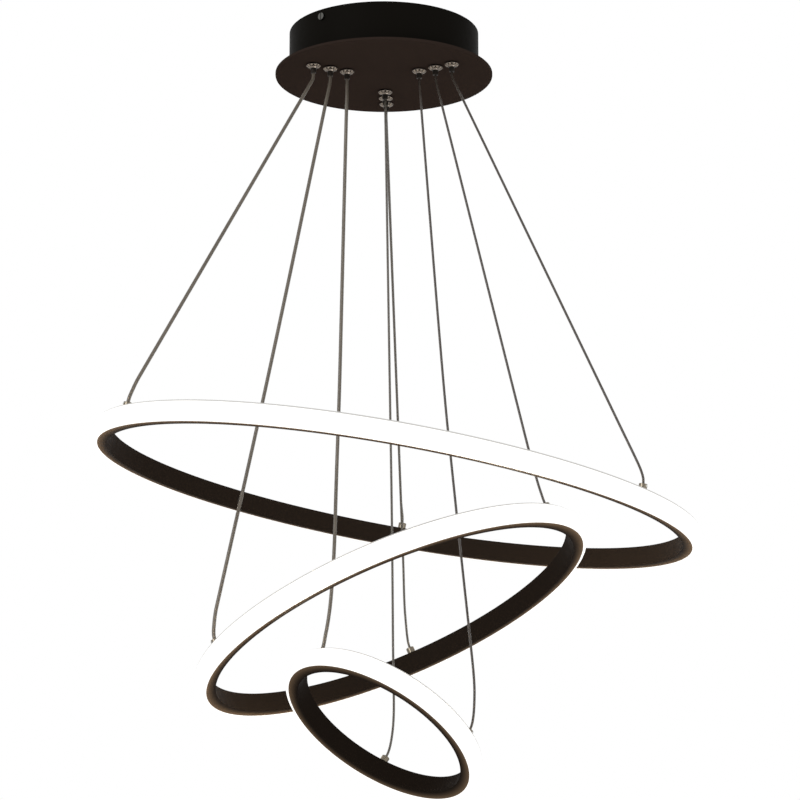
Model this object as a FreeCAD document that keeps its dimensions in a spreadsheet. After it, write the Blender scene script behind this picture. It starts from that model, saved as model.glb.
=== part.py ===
"""LED ring chandelier: three tilted light rings hung on nine wires from one round canopy.

All lengths are millimetres and all angles degrees. The origin is the middle of the ceiling
face, +Z points up, and the camera side of the photograph is -Y.
"""
import FreeCAD
import Part
import Sketcher
import math
import os
from FreeCAD import Placement, Rotation, Vector

RINGS = ("large", "medium", "small")
SIDES = ("left", "right", "back")

# name, value, what it measures
SIZES = (
    ("canopy_drop", 45.5, "ceiling to the lower face of the plate"),
    ("drum_radius", 96.0, "outside of the drum"),
    ("drum_wall", 1.0, "steel sheet of the drum"),
    ("drum_flange", 9.0, "width of the drum's inward lower rim"),
    ("drum_ceiling_gap", 0.5, "drum rim to ceiling, so that the bracket clamps first"),
    ("plate_overhang", 14.0, "how far the bottom plate reaches past the drum"),
    ("plate_thickness", 2.5, "bottom plate"),
    ("plate_edge_round", 0.9, "rounding of the plate's rim"),
    ("plate_screw_inset", 4.5, "outside of the drum to the screws between flange and plate"),
    ("plate_screw_count", 6.0, "screws between flange and plate"),
    ("plate_screw_bite", 1.7, "depth of the tapped holes in the plate"),
    ("small_thread", 1.5, "shank radius of the plate screws"),
    ("small_head", 2.8, "head radius of the plate screws"),
    ("small_head_height", 1.9, "head height of the plate screws"),
    ("bracket_width", 25.0, "ceiling strap"),
    ("bracket_thickness", 2.0, "ceiling strap"),
    ("bracket_ear", 17.0, "height of the turned-down ears"),
    ("bracket_gap", 0.4, "corners of the ears to the drum's wall"),
    ("bracket_turn", 50.0, "direction of the strap"),
    ("ceiling_hole", 2.6, "radius of the two ceiling screw holes"),
    ("ceiling_hole_circle", 35.0, "circle radius of the two ceiling screw holes"),
    ("cable_hole", 7.0, "radius of the hole for the house cable"),
    ("side_screw_drop", 8.5, "ceiling to the side screws"),
    ("side_thread", 1.9, "shank radius of the side screws"),
    ("side_head", 3.6, "head radius of the side screws"),
    ("side_head_height", 2.2, "head height of the side screws"),
    ("side_screw_reach", 9.0, "shank length of the side screws"),
    ("side_hole_play", 0.2, "side screws to their holes in the drum"),
    ("slot_width", 0.9, "driver slot in a screw head"),
    ("slot_depth", 0.9, "driver slot in a screw head"),
    ("earth_hole_offset", 20.0, "middle of the strap to the earth screw"),
    ("earth_screw_reach", 1.9, "shank length of the earth screw, which ends inside the strap"),
    ("driver_length", 84.0, "LED driver case"),
    ("driver_width", 28.0, "LED driver case"),
    ("driver_height", 20.0, "LED driver case"),
    ("driver_wall", 1.6, "LED driver case"),
    ("driver_gap", 1.9, "corners of each driver to the drum's flange"),
    ("pad_thickness", 0.8, "adhesive pad under each driver"),
    ("board_thickness", 1.6, "circuit board in each driver"),
    ("board_gap", 0.3, "board to pad and to the case's walls"),
    ("coil_side", 15.0, "transformer on the board"),
    ("coil_height", 12.0, "transformer on the board"),
    ("coil_offset", 10.5, "middle of the board to the transformer"),
    ("capacitor_radius", 4.5, "capacitor on the board"),
    ("capacitor_height", 14.0, "capacitor on the board"),
    ("capacitor_offset", 21.0, "middle of the board to the capacitor"),
    ("terminal_length", 32.0, "terminal block"),
    ("terminal_width", 18.0, "terminal block"),
    ("terminal_height", 13.0, "terminal block"),
    ("terminal_pitch", 10.0, "pole to pole"),
    ("terminal_row", 4.5, "middle line of the block to each row of screws"),
    ("terminal_screw", 1.8, "radius of the terminal screws"),
    ("terminal_screw_height", 3.0, "terminal screws"),
    ("lead_radius", 1.5, "leads between terminal block and drivers"),
    ("lead_offset", 4.0, "middle line of the block to the two leads at its ends"),
    ("arm_turn", 88.0, "direction of the back row of grips"),
    ("grip_inset", 16.0, "outside of the drum to the grips of the large ring"),
    ("grip_step", 19.0, "from one grip to the next, towards the canopy's axis"),
    ("supply_wire", 1.85, "radius of the clear two-core cable on the left"),
    ("steel_wire", 1.25, "radius of the sheathed steel cables on the right and at the back"),
    ("wire_play", 0.15, "wire to the bores that it runs through"),
    ("disc_radius", 7.2, "domed disc of a grip"),
    ("disc_height", 1.9, "domed disc of a grip"),
    ("disc_round", 1.5, "rounding of the disc's lower rim"),
    ("shoulder_radius", 5.4, "shoulder between the plate and the disc"),
    ("shoulder_height", 1.5, "shoulder between the plate and the disc"),
    ("neck_radius", 3.6, "neck under the disc"),
    ("neck_drop", 4.9, "plate to the end of the neck"),
    ("stem_radius", 4.2, "threaded stem through the plate"),
    ("stem_play", 0.2, "stem to the hole in the plate"),
    ("stem_height", 14.5, "plate's lower face to the top of the stem"),
    ("grip_nut_radius", 6.9, "corner radius of the nut on the stem"),
    ("grip_nut_height", 3.0, "nut on the stem"),
    ("thread_play", 0.05, "thread to nut"),
    ("chamber_radius", 3.5, "spring chamber in the stem"),
    ("chamber_top", 11.5, "plate's lower face to the roof of the spring chamber"),
    ("chamber_floor", 1.2, "plate's lower face down to the floor of the spring chamber"),
    ("nose_radius", 2.75, "release nose"),
    ("nose_play", 0.05, "release nose in its guide"),
    ("nose_drop", 9.6, "plate's lower face to the mouth of the release nose"),
    ("nose_round", 0.5, "rounding of the nose's mouth"),
    ("collar_radius", 3.4, "collar that keeps the nose in"),
    ("collar_height", 2.0, "collar that keeps the nose in"),
    ("spring_outer", 3.3, "outside of the grip's spring"),
    ("spring_inner", 2.15, "inside of the grip's spring"),
    ("spring_gap", 0.05, "spring to its two seats"),
    ("tail_rise", 31.5, "plate's lower face to the middle line of the spare wire"),
    ("tail_run", 41.0, "level stretch of the spare wire"),
    ("stop_length", 6.0, "crimped stop on the spare wire"),
    ("stop_wall", 0.9, "crimped stop on the spare wire"),
    ("stop_setback", 1.0, "wire that shows past the stop"),
    ("profile_height", 20.0, "light ring, along its axis"),
    ("channel_depth", 10.0, "aluminium channel, inner wall to lips"),
    ("channel_wall", 1.2, "aluminium channel"),
    ("channel_edge_round", 0.4, "rounding of the channel's outer corners"),
    ("diffuser_proud", 4.0, "how far the diffuser stands out of the channel"),
    ("diffuser_wall", 1.6, "diffuser"),
    ("diffuser_round", 2.2, "rounding of the diffuser's outer corners"),
    ("diffuser_leg", 2.4, "how far the diffuser's legs reach into the channel"),
    ("diffuser_play", 0.15, "diffuser's legs to the channel's walls"),
    ("strip_width", 8.0, "LED strip"),
    ("strip_thickness", 0.4, "LED strip"),
    ("chip_height", 2.8, "LED chip, along the ring's axis"),
    ("chip_width", 3.5, "LED chip, round the ring"),
    ("chip_proud", 0.8, "LED chip, out of the strip"),
    ("chip_pitch", 33.3, "chip to chip round the ring"),
    ("splice_depth", 3.4, "joining piece, across the channel"),
    ("splice_height", 1.9, "joining piece, along the ring's axis"),
    ("splice_length", 40.0, "joining piece, round the ring"),
    ("splice_gap", 0.1, "joining piece to the channel's walls"),
    ("stud_radius", 4.1, "wire fitting on a ring"),
    ("stud_height", 5.8, "wire fitting on a ring"),
    ("stud_round", 0.5, "rounding of the fitting's top"),
    ("stud_inset", 10.0, "outside of the ring to the middle of the fittings"),
    ("stud_stem", 1.25, "radius of the fitting's threaded stem"),
    ("stud_stem_length", 3.6, "fitting's threaded stem"),
    ("stud_bore_depth", 3.2, "how deep the wire sits in the fitting"),
    ("stud_nut_radius", 2.55, "corner radius of the nut inside the channel"),
    ("stud_nut_height", 1.8, "nut inside the channel"),
    ("grub_radius", 1.2, "set screw that holds the wire"),
    ("grub_rise", 3.9, "ring to the middle of the set screw"),
    ("grub_proud", 0.3, "how far the set screw stands out"),
    ("grub_play", 0.05, "set screw in its hole"),
    ("large_radius", 300.0, "outside of the large ring"),
    ("large_x", 12.0, "middle of the large ring"),
    ("large_y", -2.0, "middle of the large ring"),
    ("large_z", -474.5, "middle of the large ring"),
    ("large_tilt", 10.51, "angle between the large ring's axis and the vertical"),
    ("large_tilt_turn", -14.04, "direction in which the large ring's axis leans"),
    ("large_left", 206.0, "direction of the large ring's left fitting"),
    ("large_right", 323.0, "direction of the large ring's right fitting"),
    ("large_back", 89.2, "direction of the large ring's back fitting"),
    ("medium_radius", 202.0, "outside of the medium ring"),
    ("medium_x", 9.0, "middle of the medium ring"),
    ("medium_y", 1.0, "middle of the medium ring"),
    ("medium_z", -597.0, "middle of the medium ring"),
    ("medium_tilt", 23.47, "angle between the medium ring's axis and the vertical"),
    ("medium_tilt_turn", 161.61, "direction in which the medium ring's axis leans"),
    ("medium_left", 206.5, "direction of the medium ring's left fitting"),
    ("medium_right", 331.3, "direction of the medium ring's right fitting"),
    ("medium_back", 85.0, "direction of the medium ring's back fitting"),
    ("small_radius", 103.5, "outside of the small ring"),
    ("small_x", 0.0, "middle of the small ring"),
    ("small_y", 1.0, "middle of the small ring"),
    ("small_z", -707.0, "middle of the small ring"),
    ("small_tilt", 34.93, "angle between the small ring's axis and the vertical"),
    ("small_tilt_turn", 33.26, "direction in which the small ring's axis leans"),
    ("small_left", 205.0, "direction of the small ring's left fitting"),
    ("small_right", 325.5, "direction of the small ring's right fitting"),
    ("small_back", 82.8, "direction of the small ring's back fitting"),
)

NOSE_LEAD = {"left": 5.5, "right": 4.5, "back": 4.5}  # wire under a nose, before it turns
FITTING_LEAD = 6.5  # wire that rises straight from the bottom of a fitting's bore

# Points of the wires between their two ends, chosen by hand along the photographed lines.
WIRE_ROUTES = {
    ("large", "left"): ((-235.5, -125.0, -397.0), (-239.5, -127.5, -407.5)),
    ("large", "right"): (
        (223.5, -160.5, -452.0),
        (237.5, -171.5, -487.0),
        (240.5, -174.5, -496.5),
    ),
    ("large", "back"): ((19.5, 279.0, -429.0),),
    ("medium", "left"): (
        (-112.0, -57.0, -374.5),
        (-159.5, -79.5, -611.0),
        (-160.5, -80.5, -621.5),
    ),
    ("medium", "right"): (
        (139.5, -81.5, -453.0),
        (147.5, -85.5, -486.0),
        (151.0, -87.0, -497.5),
    ),
    ("medium", "back"): (
        (21.0, 173.5, -515.0),
        (22.0, 183.5, -555.0),
        (24.0, 188.5, -577.0),
        (25.0, 191.0, -587.0),
    ),
    ("small", "left"): (
        (-43.5, -26.0, -390.0),
        (-46.0, -27.5, -470.5),
        (-47.5, -28.5, -542.5),
        (-50.5, -29.5, -590.0),
        (-53.5, -30.0, -613.5),
        (-56.0, -30.5, -626.0),
    ),
    ("small", "right"): (
        (58.5, -32.0, -376.0),
        (75.5, -38.0, -552.0),
        (84.0, -40.5, -635.5),
        (87.5, -42.0, -673.5),
        (87.0, -42.5, -695.0),
        (86.0, -43.0, -706.5),
    ),
    ("small", "back"): (
        (8.5, 74.5, -468.5),
        (9.5, 81.5, -559.0),
        (10.0, 87.0, -623.5),
        (11.0, 91.0, -670.5),
        (10.5, 92.5, -692.0),
        (8.5, 94.0, -708.0),
        (6.5, 94.5, -717.0),
    ),
}

SPLICE_TURN = 150.0  # direction of the seam of each bent ring
ARM_STEP = 120.0  # from one row of grips to the next
SIDE_STEP = {"back": 0, "left": 1, "right": 2}
TUBE_ARC_SHARE = 0.45  # share of the shorter run that a bend of a wire uses
LEAD_PARTS = 3  # a driver lead turns after each third of its way
CUTTER = 3.0  # a cutter is this many times as long as what it crosses
TOUCH = 1e-6  # two lengths closer than this are the same


class Size:
    """A size with its value now and the sheet's formula for it."""

    def __init__(self, value, text):
        self.value = value
        self.text = text

    def __add__(self, other):
        other = as_size(other)
        return Size(self.value + other.value, f"({self.text} + {other.text})")

    def __sub__(self, other):
        other = as_size(other)
        return Size(self.value - other.value, f"({self.text} - {other.text})")

    def __mul__(self, other):
        other = as_size(other)
        return Size(self.value * other.value, f"({self.text} * {other.text})")

    def __truediv__(self, other):
        other = as_size(other)
        return Size(self.value / other.value, f"({self.text} / {other.text})")

    def __neg__(self):
        return Size(-self.value, f"(0 - {self.text})")


def as_size(number):
    """A plain number as a size."""
    return number if isinstance(number, Size) else Size(float(number), f"{float(number):.6f}")


def cos_of(angle):
    """Cosine of an angle in degrees."""
    return Size(math.cos(math.radians(angle.value)), f"cos({angle.text} * 1 deg)")


def sin_of(angle):
    """Sine of an angle in degrees."""
    return Size(math.sin(math.radians(angle.value)), f"sin({angle.text} * 1 deg)")


def root_of(area):
    """Square root of a size."""
    return Size(math.sqrt(area.value), f"sqrt({area.text})")


def make_sheet(document):
    """Writes the driving sizes to the sheet and returns them by name."""
    sheet = document.addObject("Spreadsheet::Sheet", "Sizes")
    sizes = {}
    for row, (name, value, meaning) in enumerate(SIZES, start=1):
        sheet.set(f"A{row}", name)
        sheet.set(f"B{row}", str(value))
        sheet.set(f"C{row}", meaning)
        sheet.setAlias(f"B{row}", name)
        sizes[name] = Size(value, f"Sizes.{name}")
    document.recompute()
    return sizes


document = FreeCAD.newDocument("RingChandelier")
SIZE = make_sheet(document)


# ---------------------------------------------------------------- building blocks


def bind(thing, name, size):
    """Ties one property of a thing to the sheet."""
    thing.setExpression(name, as_size(size).text)


def move(thing, x=0, y=0, z=0):
    """Ties the place of a thing to the sheet."""
    for axis, size in (("x", x), ("y", y), ("z", z)):
        bind(thing, f"Placement.Base.{axis}", size)
    return thing


def turned(angle, x=0.0, y=0.0, z=0.0):
    """A placement turned about the vertical, then moved."""
    return Placement(Vector(x, y, z), Rotation(Vector(0, 0, 1), angle))


def new_body(label):
    """An empty body with its own label."""
    body = document.addObject("PartDesign::Body", label)
    body.Label = label
    return body


def new_sketch(body, plane):
    """A sketch on one of the body's own planes."""
    sketch = body.newObject("Sketcher::SketchObject", f"{body.Name}_sketch")
    support = next(item for item in body.Origin.OriginFeatures if item.Role == plane)
    sketch.AttachmentSupport = (support, [""])
    sketch.MapMode = "FlatFace"
    return sketch


def constrain(sketch, kind, size, *where):
    """Adds one dimension to a sketch and ties it to the sheet."""
    size = as_size(size)
    index = sketch.addConstraint(Sketcher.Constraint(kind, *where, size.value))
    sketch.setExpression(f"Constraints[{index}]", size.text)


def add_outline(sketch, points):
    """Closed outline through points whose places are tied to the sheet."""
    places = [Vector(as_size(x).value, as_size(y).value, 0) for x, y in points]
    first = sketch.GeometryCount
    count = len(points)
    for index in range(count):
        sketch.addGeometry(Part.LineSegment(places[index], places[(index + 1) % count]), False)
    for index in range(count):
        after = first + (index + 1) % count
        sketch.addConstraint(Sketcher.Constraint("Coincident", first + index, 2, after, 1))
    for index, (x, y) in enumerate(points):
        constrain(sketch, "DistanceX", x, -1, 1, first + index, 1)
        constrain(sketch, "DistanceY", y, -1, 1, first + index, 1)


def add_circle(sketch, radius, x, y):
    """Circle whose place and radius are tied to the sheet."""
    middle = Vector(as_size(x).value, as_size(y).value, 0)
    index = sketch.addGeometry(Part.Circle(middle, Vector(0, 0, 1), radius.value), False)
    constrain(sketch, "Radius", radius, index)
    constrain(sketch, "DistanceX", x, -1, 1, index, 3)
    constrain(sketch, "DistanceY", y, -1, 1, index, 3)


def revolve(label, points, angle=None):
    """Body turned about its own vertical axis, from an outline of (radius, height) points."""
    body = new_body(label)
    sketch = new_sketch(body, "XZ_Plane")
    add_outline(sketch, points)
    feature = body.newObject("PartDesign::Revolution", f"{label}_turned")
    feature.Profile = sketch
    feature.ReferenceAxis = (sketch, ["V_Axis"])
    feature.Angle = 360.0
    if angle is not None:
        bind(feature, "Angle", angle)
        feature.Midplane = True
    sketch.Visibility = False
    return body


def pad(body, sketch, length, midplane=False):
    """Pads a sketch of the body."""
    feature = body.newObject("PartDesign::Pad", f"{body.Name}_pad")
    feature.Profile = sketch
    bind(feature, "Length", length)
    feature.Midplane = midplane
    document.recompute()
    return feature


def cut_through(body, sketch):
    """Cuts a sketch right through the body, both ways."""
    feature = body.newObject("PartDesign::Pocket", f"{body.Name}_cut")
    feature.Profile = sketch
    feature.Type = "ThroughAll"
    feature.Midplane = True
    document.recompute()
    return feature


def cut_depth(body, sketch, depth):
    """Cuts a sketch into the body by a depth, along the sketch's own normal."""
    feature = body.newObject("PartDesign::Pocket", f"{body.Name}_cut")
    feature.Profile = sketch
    bind(feature, "Length", depth)
    feature.Reversed = True
    document.recompute()
    return feature


def round_rims(body, radius, wanted):
    """Rounds the body's circular rims for which wanted(radius, height) holds."""
    document.recompute()
    base = body.Tip
    names = []
    for index, edge in enumerate(base.Shape.Edges, start=1):
        curve = edge.Curve
        if isinstance(curve, Part.Circle) and abs(curve.Center.x) + abs(curve.Center.y) < TOUCH:
            if wanted(curve.Radius, curve.Center.z):
                names.append(f"Edge{index}")
    feature = body.newObject("PartDesign::Fillet", f"{body.Name}_round")
    feature.Base = (base, names)
    bind(feature, "Radius", radius)
    document.recompute()
    return feature


def cylinder(name, radius, height, x=0, y=0, z=0):
    """Upright cylinder tied to the sheet."""
    thing = document.addObject("Part::Cylinder", name)
    bind(thing, "Radius", radius)
    bind(thing, "Height", height)
    return move(thing, x, y, z)


def box(name, length, width, height, x=0, y=0, z=0):
    """Box with its middle at x, y and its lower face at z, tied to the sheet."""
    thing = document.addObject("Part::Box", name)
    bind(thing, "Length", length)
    bind(thing, "Width", width)
    bind(thing, "Height", height)
    return move(thing, as_size(x) - length / 2, as_size(y) - width / 2, z)


def hexagon(name, radius, height, z=0):
    """Upright six-sided prism tied to the sheet."""
    thing = document.addObject("Part::Prism", name)
    thing.Polygon = 6
    bind(thing, "Circumradius", radius)
    bind(thing, "Height", height)
    return move(thing, 0, 0, z)


def subtract(name, base, tool):
    """One thing less another."""
    thing = document.addObject("Part::Cut", name)
    thing.Base = base
    thing.Tool = tool
    return thing


def join(name, things):
    """Things joined to one solid."""
    thing = document.addObject("Part::MultiFuse", name)
    thing.Shapes = things
    return thing


def group(label, things):
    """Separate solids kept together under one label."""
    thing = document.addObject("Part::Compound", label)
    thing.Label = label
    thing.Links = things
    return thing


def screw(name, shank, reach, head, head_height):
    """Slotted cheese-head screw: its head stands on z = 0 and its shank points down."""
    top = cylinder(f"{name}_head", head, head_height)
    length = as_size(0) + reach
    shaft = cylinder(f"{name}_shank", shank, length, z=-length)
    depth = SIZE["slot_depth"]
    slot = box(f"{name}_slot", head * CUTTER, SIZE["slot_width"], depth * 2, z=head_height - depth)
    return subtract(name, join(f"{name}_blank", [top, shaft]), slot)


# ---------------------------------------------------------------- canopy


def plate_top():
    """Height of the plate's upper face."""
    return SIZE["plate_thickness"] - SIZE["canopy_drop"]


def plate_screw_circle():
    """Radius of the circle on which the screws between flange and plate stand."""
    return SIZE["drum_radius"] - SIZE["plate_screw_inset"]


def arm_place(ring, side):
    """Place of a grip on the plate, in the canopy's frame."""
    angle = SIZE["arm_turn"] + ARM_STEP * SIDE_STEP[side]
    inset = SIZE["grip_inset"] + SIZE["grip_step"] * RINGS.index(ring)
    radius = SIZE["drum_radius"] - inset
    return radius * cos_of(angle), radius * sin_of(angle)


def wire_radius(side):
    """Radius of the wire on a side of the chandelier."""
    return SIZE["supply_wire"] if side == "left" else SIZE["steel_wire"]


def make_bracket():
    """Bent ceiling strap with screw holes, cable hole and tapped ears."""
    body = new_body("ceiling_bracket")
    reach = SIZE["drum_radius"] - SIZE["drum_wall"] - SIZE["bracket_gap"]
    half_width = SIZE["bracket_width"] / 2
    half = root_of(reach * reach - half_width * half_width)
    thick = SIZE["bracket_thickness"]
    ear = -SIZE["bracket_ear"]
    outline = new_sketch(body, "XZ_Plane")
    add_outline(
        outline,
        (
            (-half, 0),
            (half, 0),
            (half, ear),
            (half - thick, ear),
            (half - thick, -thick),
            (thick - half, -thick),
            (thick - half, ear),
            (-half, ear),
        ),
    )
    pad(body, outline, SIZE["bracket_width"], midplane=True)
    holes = new_sketch(body, "XY_Plane")
    add_circle(holes, SIZE["ceiling_hole"], SIZE["ceiling_hole_circle"], 0)
    add_circle(holes, SIZE["ceiling_hole"], -SIZE["ceiling_hole_circle"], 0)
    add_circle(holes, SIZE["cable_hole"], 0, 0)
    add_circle(holes, SIZE["small_thread"], SIZE["earth_hole_offset"], 0)
    cut_through(body, holes)
    tapped = new_sketch(body, "YZ_Plane")
    add_circle(tapped, SIZE["side_thread"], 0, -SIZE["side_screw_drop"])
    cut_through(body, tapped)
    body.Placement = turned(SIZE["bracket_turn"].value)
    return body


def make_drum():
    """Round sheet-steel shell with a turned-in lower rim and two holes for the side screws."""
    outer = SIZE["drum_radius"]
    inner = outer - SIZE["drum_wall"]
    low = plate_top()
    top = -SIZE["drum_ceiling_gap"]
    body = revolve(
        "canopy_drum",
        (
            (outer, low),
            (outer, top),
            (inner, top),
            (inner, low + SIZE["drum_wall"]),
            (outer - SIZE["drum_flange"], low + SIZE["drum_wall"]),
            (outer - SIZE["drum_flange"], low),
        ),
    )
    document.recompute()
    side = new_sketch(body, "YZ_Plane")
    add_circle(side, SIZE["side_thread"] + SIZE["side_hole_play"], 0, -SIZE["side_screw_drop"])
    cut_through(body, side)
    rim = new_sketch(body, "XY_Plane")
    rim.AttachmentOffset = Placement(Vector(0, 0, low.value), Rotation())
    bind(rim, "AttachmentOffset.Base.z", low)
    add_circle(rim, SIZE["small_thread"] + SIZE["thread_play"], plate_screw_circle(), 0)
    around(body, cut_depth(body, rim, SIZE["drum_wall"]), SIZE["plate_screw_count"])
    body.Placement = turned(SIZE["bracket_turn"].value)
    return body


def around(body, feature, count):
    """Repeats a feature round the body's vertical axis."""
    pattern = body.newObject("PartDesign::PolarPattern", f"{body.Name}_pattern")
    pattern.Originals = [feature]
    axis = next(item for item in body.Origin.OriginFeatures if item.Role == "Z_Axis")
    pattern.Axis = (axis, [""])
    pattern.Angle = 360.0
    pattern.Occurrences = int(as_size(count).value)
    bind(pattern, "Occurrences", count)
    body.Tip = pattern
    document.recompute()
    return pattern


def make_plate():
    """Round bottom plate with nine grip holes and tapped blind holes for the plate screws."""
    body = new_body("canopy_plate")
    low = -SIZE["canopy_drop"]
    disc = new_sketch(body, "XY_Plane")
    add_circle(disc, SIZE["drum_radius"] + SIZE["plate_overhang"], 0, 0)
    pad(body, disc, SIZE["plate_thickness"])
    round_rims(body, SIZE["plate_edge_round"], lambda radius, height: height < TOUCH)
    holes = new_sketch(body, "XY_Plane")
    for ring in RINGS:
        for side in SIDES:
            x, y = arm_place(ring, side)
            add_circle(holes, SIZE["stem_radius"] + SIZE["stem_play"], x, y)
    cut_through(body, holes)
    tapped = new_sketch(body, "XY_Plane")
    depth = SIZE["plate_thickness"] - SIZE["plate_screw_bite"]
    bind(tapped, "AttachmentOffset.Base.z", depth)
    turn = SIZE["bracket_turn"]
    circle = plate_screw_circle()
    add_circle(tapped, SIZE["small_thread"], circle * cos_of(turn), circle * sin_of(turn))
    around(body, cut_depth(body, tapped, SIZE["plate_screw_bite"]), SIZE["plate_screw_count"])
    return move(body, 0, 0, low)


def make_canopy_screws():
    """Screws between flange and plate, side screws and the earth screw."""
    nodes = []
    count = int(SIZE["plate_screw_count"].value)
    rim_top = plate_top() + SIZE["drum_wall"]
    screws = []
    for index in range(count):
        thing = screw(
            f"plate_screw_{index + 1}",
            SIZE["small_thread"] - SIZE["thread_play"],
            SIZE["drum_wall"] + SIZE["plate_screw_bite"],
            SIZE["small_head"],
            SIZE["small_head_height"],
        )
        angle = SIZE["bracket_turn"] + 360.0 / count * index
        circle = plate_screw_circle()
        move(thing, circle * cos_of(angle), circle * sin_of(angle), rim_top)
        screws.append(thing)
    nodes.append(group("plate_screws", screws))

    screws = []
    for index in range(2):
        thing = screw(
            f"side_screw_{index + 1}",
            SIZE["side_thread"] - SIZE["thread_play"],
            SIZE["side_screw_reach"],
            SIZE["side_head"],
            SIZE["side_head_height"],
        )
        angle = SIZE["bracket_turn"].value + 180.0 * index
        outward = Rotation(Vector(0, 0, 1), angle) * Rotation(Vector(0, 1, 0), 90)
        seat = Rotation(Vector(0, 0, 1), angle).multVec(Vector(SIZE["drum_radius"].value, 0, 0))
        seat.z = -SIZE["side_screw_drop"].value
        thing.Placement = Placement(seat, outward)
        screws.append(thing)
    nodes.append(group("side_screws", screws))

    earth = screw(
        "earth_pin",
        SIZE["small_thread"] - SIZE["thread_play"],
        SIZE["earth_screw_reach"],
        SIZE["small_head"],
        SIZE["small_head_height"],
    )
    # The head lies under the strap, so the screw is fitted from below.
    turn = SIZE["bracket_turn"].value
    spot = Rotation(Vector(0, 0, 1), turn).multVec(Vector(SIZE["earth_hole_offset"].value, 0, 0))
    spot.z = -SIZE["bracket_thickness"].value
    earth.Placement = Placement(spot, Rotation(Vector(1, 0, 0), 180))
    nodes.append(group("earth_screw", [earth]))
    return nodes


def driver_turn(ring):
    """Direction of a ring's driver, midway between two rows of grips."""
    return SIZE["arm_turn"].value - ARM_STEP / 2 + ARM_STEP * RINGS.index(ring)


def driver_middle():
    """Canopy axis to the middle of each driver, whose outer corners lie inside the flange."""
    reach = SIZE["drum_radius"] - SIZE["drum_flange"] - SIZE["driver_gap"]
    half = SIZE["driver_length"] / 2
    return root_of(reach * reach - half * half) - SIZE["driver_width"] / 2


def make_drivers():
    """One driver for each ring: pad, case open below and board."""
    nodes = []
    pads = []
    boards = []
    radius = driver_middle().value
    base = plate_top()
    length = SIZE["driver_length"]
    width = SIZE["driver_width"]
    wall = SIZE["driver_wall"]
    for ring in RINGS:
        turn = driver_turn(ring)
        x = radius * math.cos(math.radians(turn))
        y = radius * math.sin(math.radians(turn))
        place = turned(turn + 90, x, y, base.value)

        pad_sheet = group(
            f"{ring}_pad", [box(f"{ring}_pad_sheet", length, width, SIZE["pad_thickness"])]
        )
        pad_sheet.Placement = place
        pads.append(pad_sheet)

        height = SIZE["driver_height"]
        outer = box(f"{ring}_case_outer", length, width, height)
        inner = box(f"{ring}_case_inner", length - wall * 2, width - wall * 2, height - wall)
        case = subtract(f"{ring}_driver", outer, inner)
        case.Label = f"{ring}_driver"
        on_pad = Vector(0, 0, SIZE["pad_thickness"].value)
        case.Placement = place.multiply(Placement(on_pad, Rotation()))
        nodes.append(case)

        gap = SIZE["board_gap"]
        inside = wall + gap
        card = box(f"{ring}_card", length - inside * 2, width - inside * 2, SIZE["board_thickness"])
        coil = box(
            f"{ring}_coil",
            SIZE["coil_side"],
            SIZE["coil_side"],
            SIZE["coil_height"],
            x=SIZE["coil_offset"],
            z=SIZE["board_thickness"],
        )
        can = cylinder(
            f"{ring}_capacitor",
            SIZE["capacitor_radius"],
            SIZE["capacitor_height"],
            x=-SIZE["capacitor_offset"],
            z=SIZE["board_thickness"],
        )
        board = join(f"{ring}_board", [card, coil, can])
        lift = SIZE["pad_thickness"].value + gap.value
        board.Placement = place.multiply(Placement(Vector(0, 0, lift), Rotation()))
        boards.append(board)
    nodes.append(group("driver_pads", pads))
    nodes.append(group("driver_boards", boards))
    return nodes


def make_terminal():
    """Terminal block in the middle of the plate and its screws."""
    height = SIZE["terminal_height"]
    length = SIZE["terminal_length"]
    width = SIZE["terminal_width"]
    block = box("terminal_blank", length, width, height, z=plate_top())
    wells = []
    screws = []
    radius = SIZE["terminal_screw"]
    depth = SIZE["terminal_screw_height"] + SIZE["slot_depth"]
    for column in (-1, 0, 1):
        for row in (-1, 1):
            x = SIZE["terminal_pitch"] * column
            y = SIZE["terminal_row"] * row
            mark = f"{column + 2}_{row + 2}"
            floor = plate_top() + height - depth
            well_radius = radius + SIZE["thread_play"]
            wells.append(cylinder(f"terminal_well_{mark}", well_radius, depth * 2, x, y, floor))
            pin = cylinder(f"terminal_pin_{mark}", radius, SIZE["terminal_screw_height"])
            slot = box(
                f"terminal_slot_{mark}",
                radius * CUTTER,
                SIZE["slot_width"],
                SIZE["slot_depth"] * 2,
                z=SIZE["terminal_screw_height"] - SIZE["slot_depth"],
            )
            screws.append(move(subtract(f"terminal_screw_{mark}", pin, slot), x, y, floor))
    block = subtract("terminal_block", block, join("terminal_wells", wells))
    block.Label = "terminal_block"
    return [block, group("terminal_screws", screws)]


# ---------------------------------------------------------------- cable grips


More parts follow.
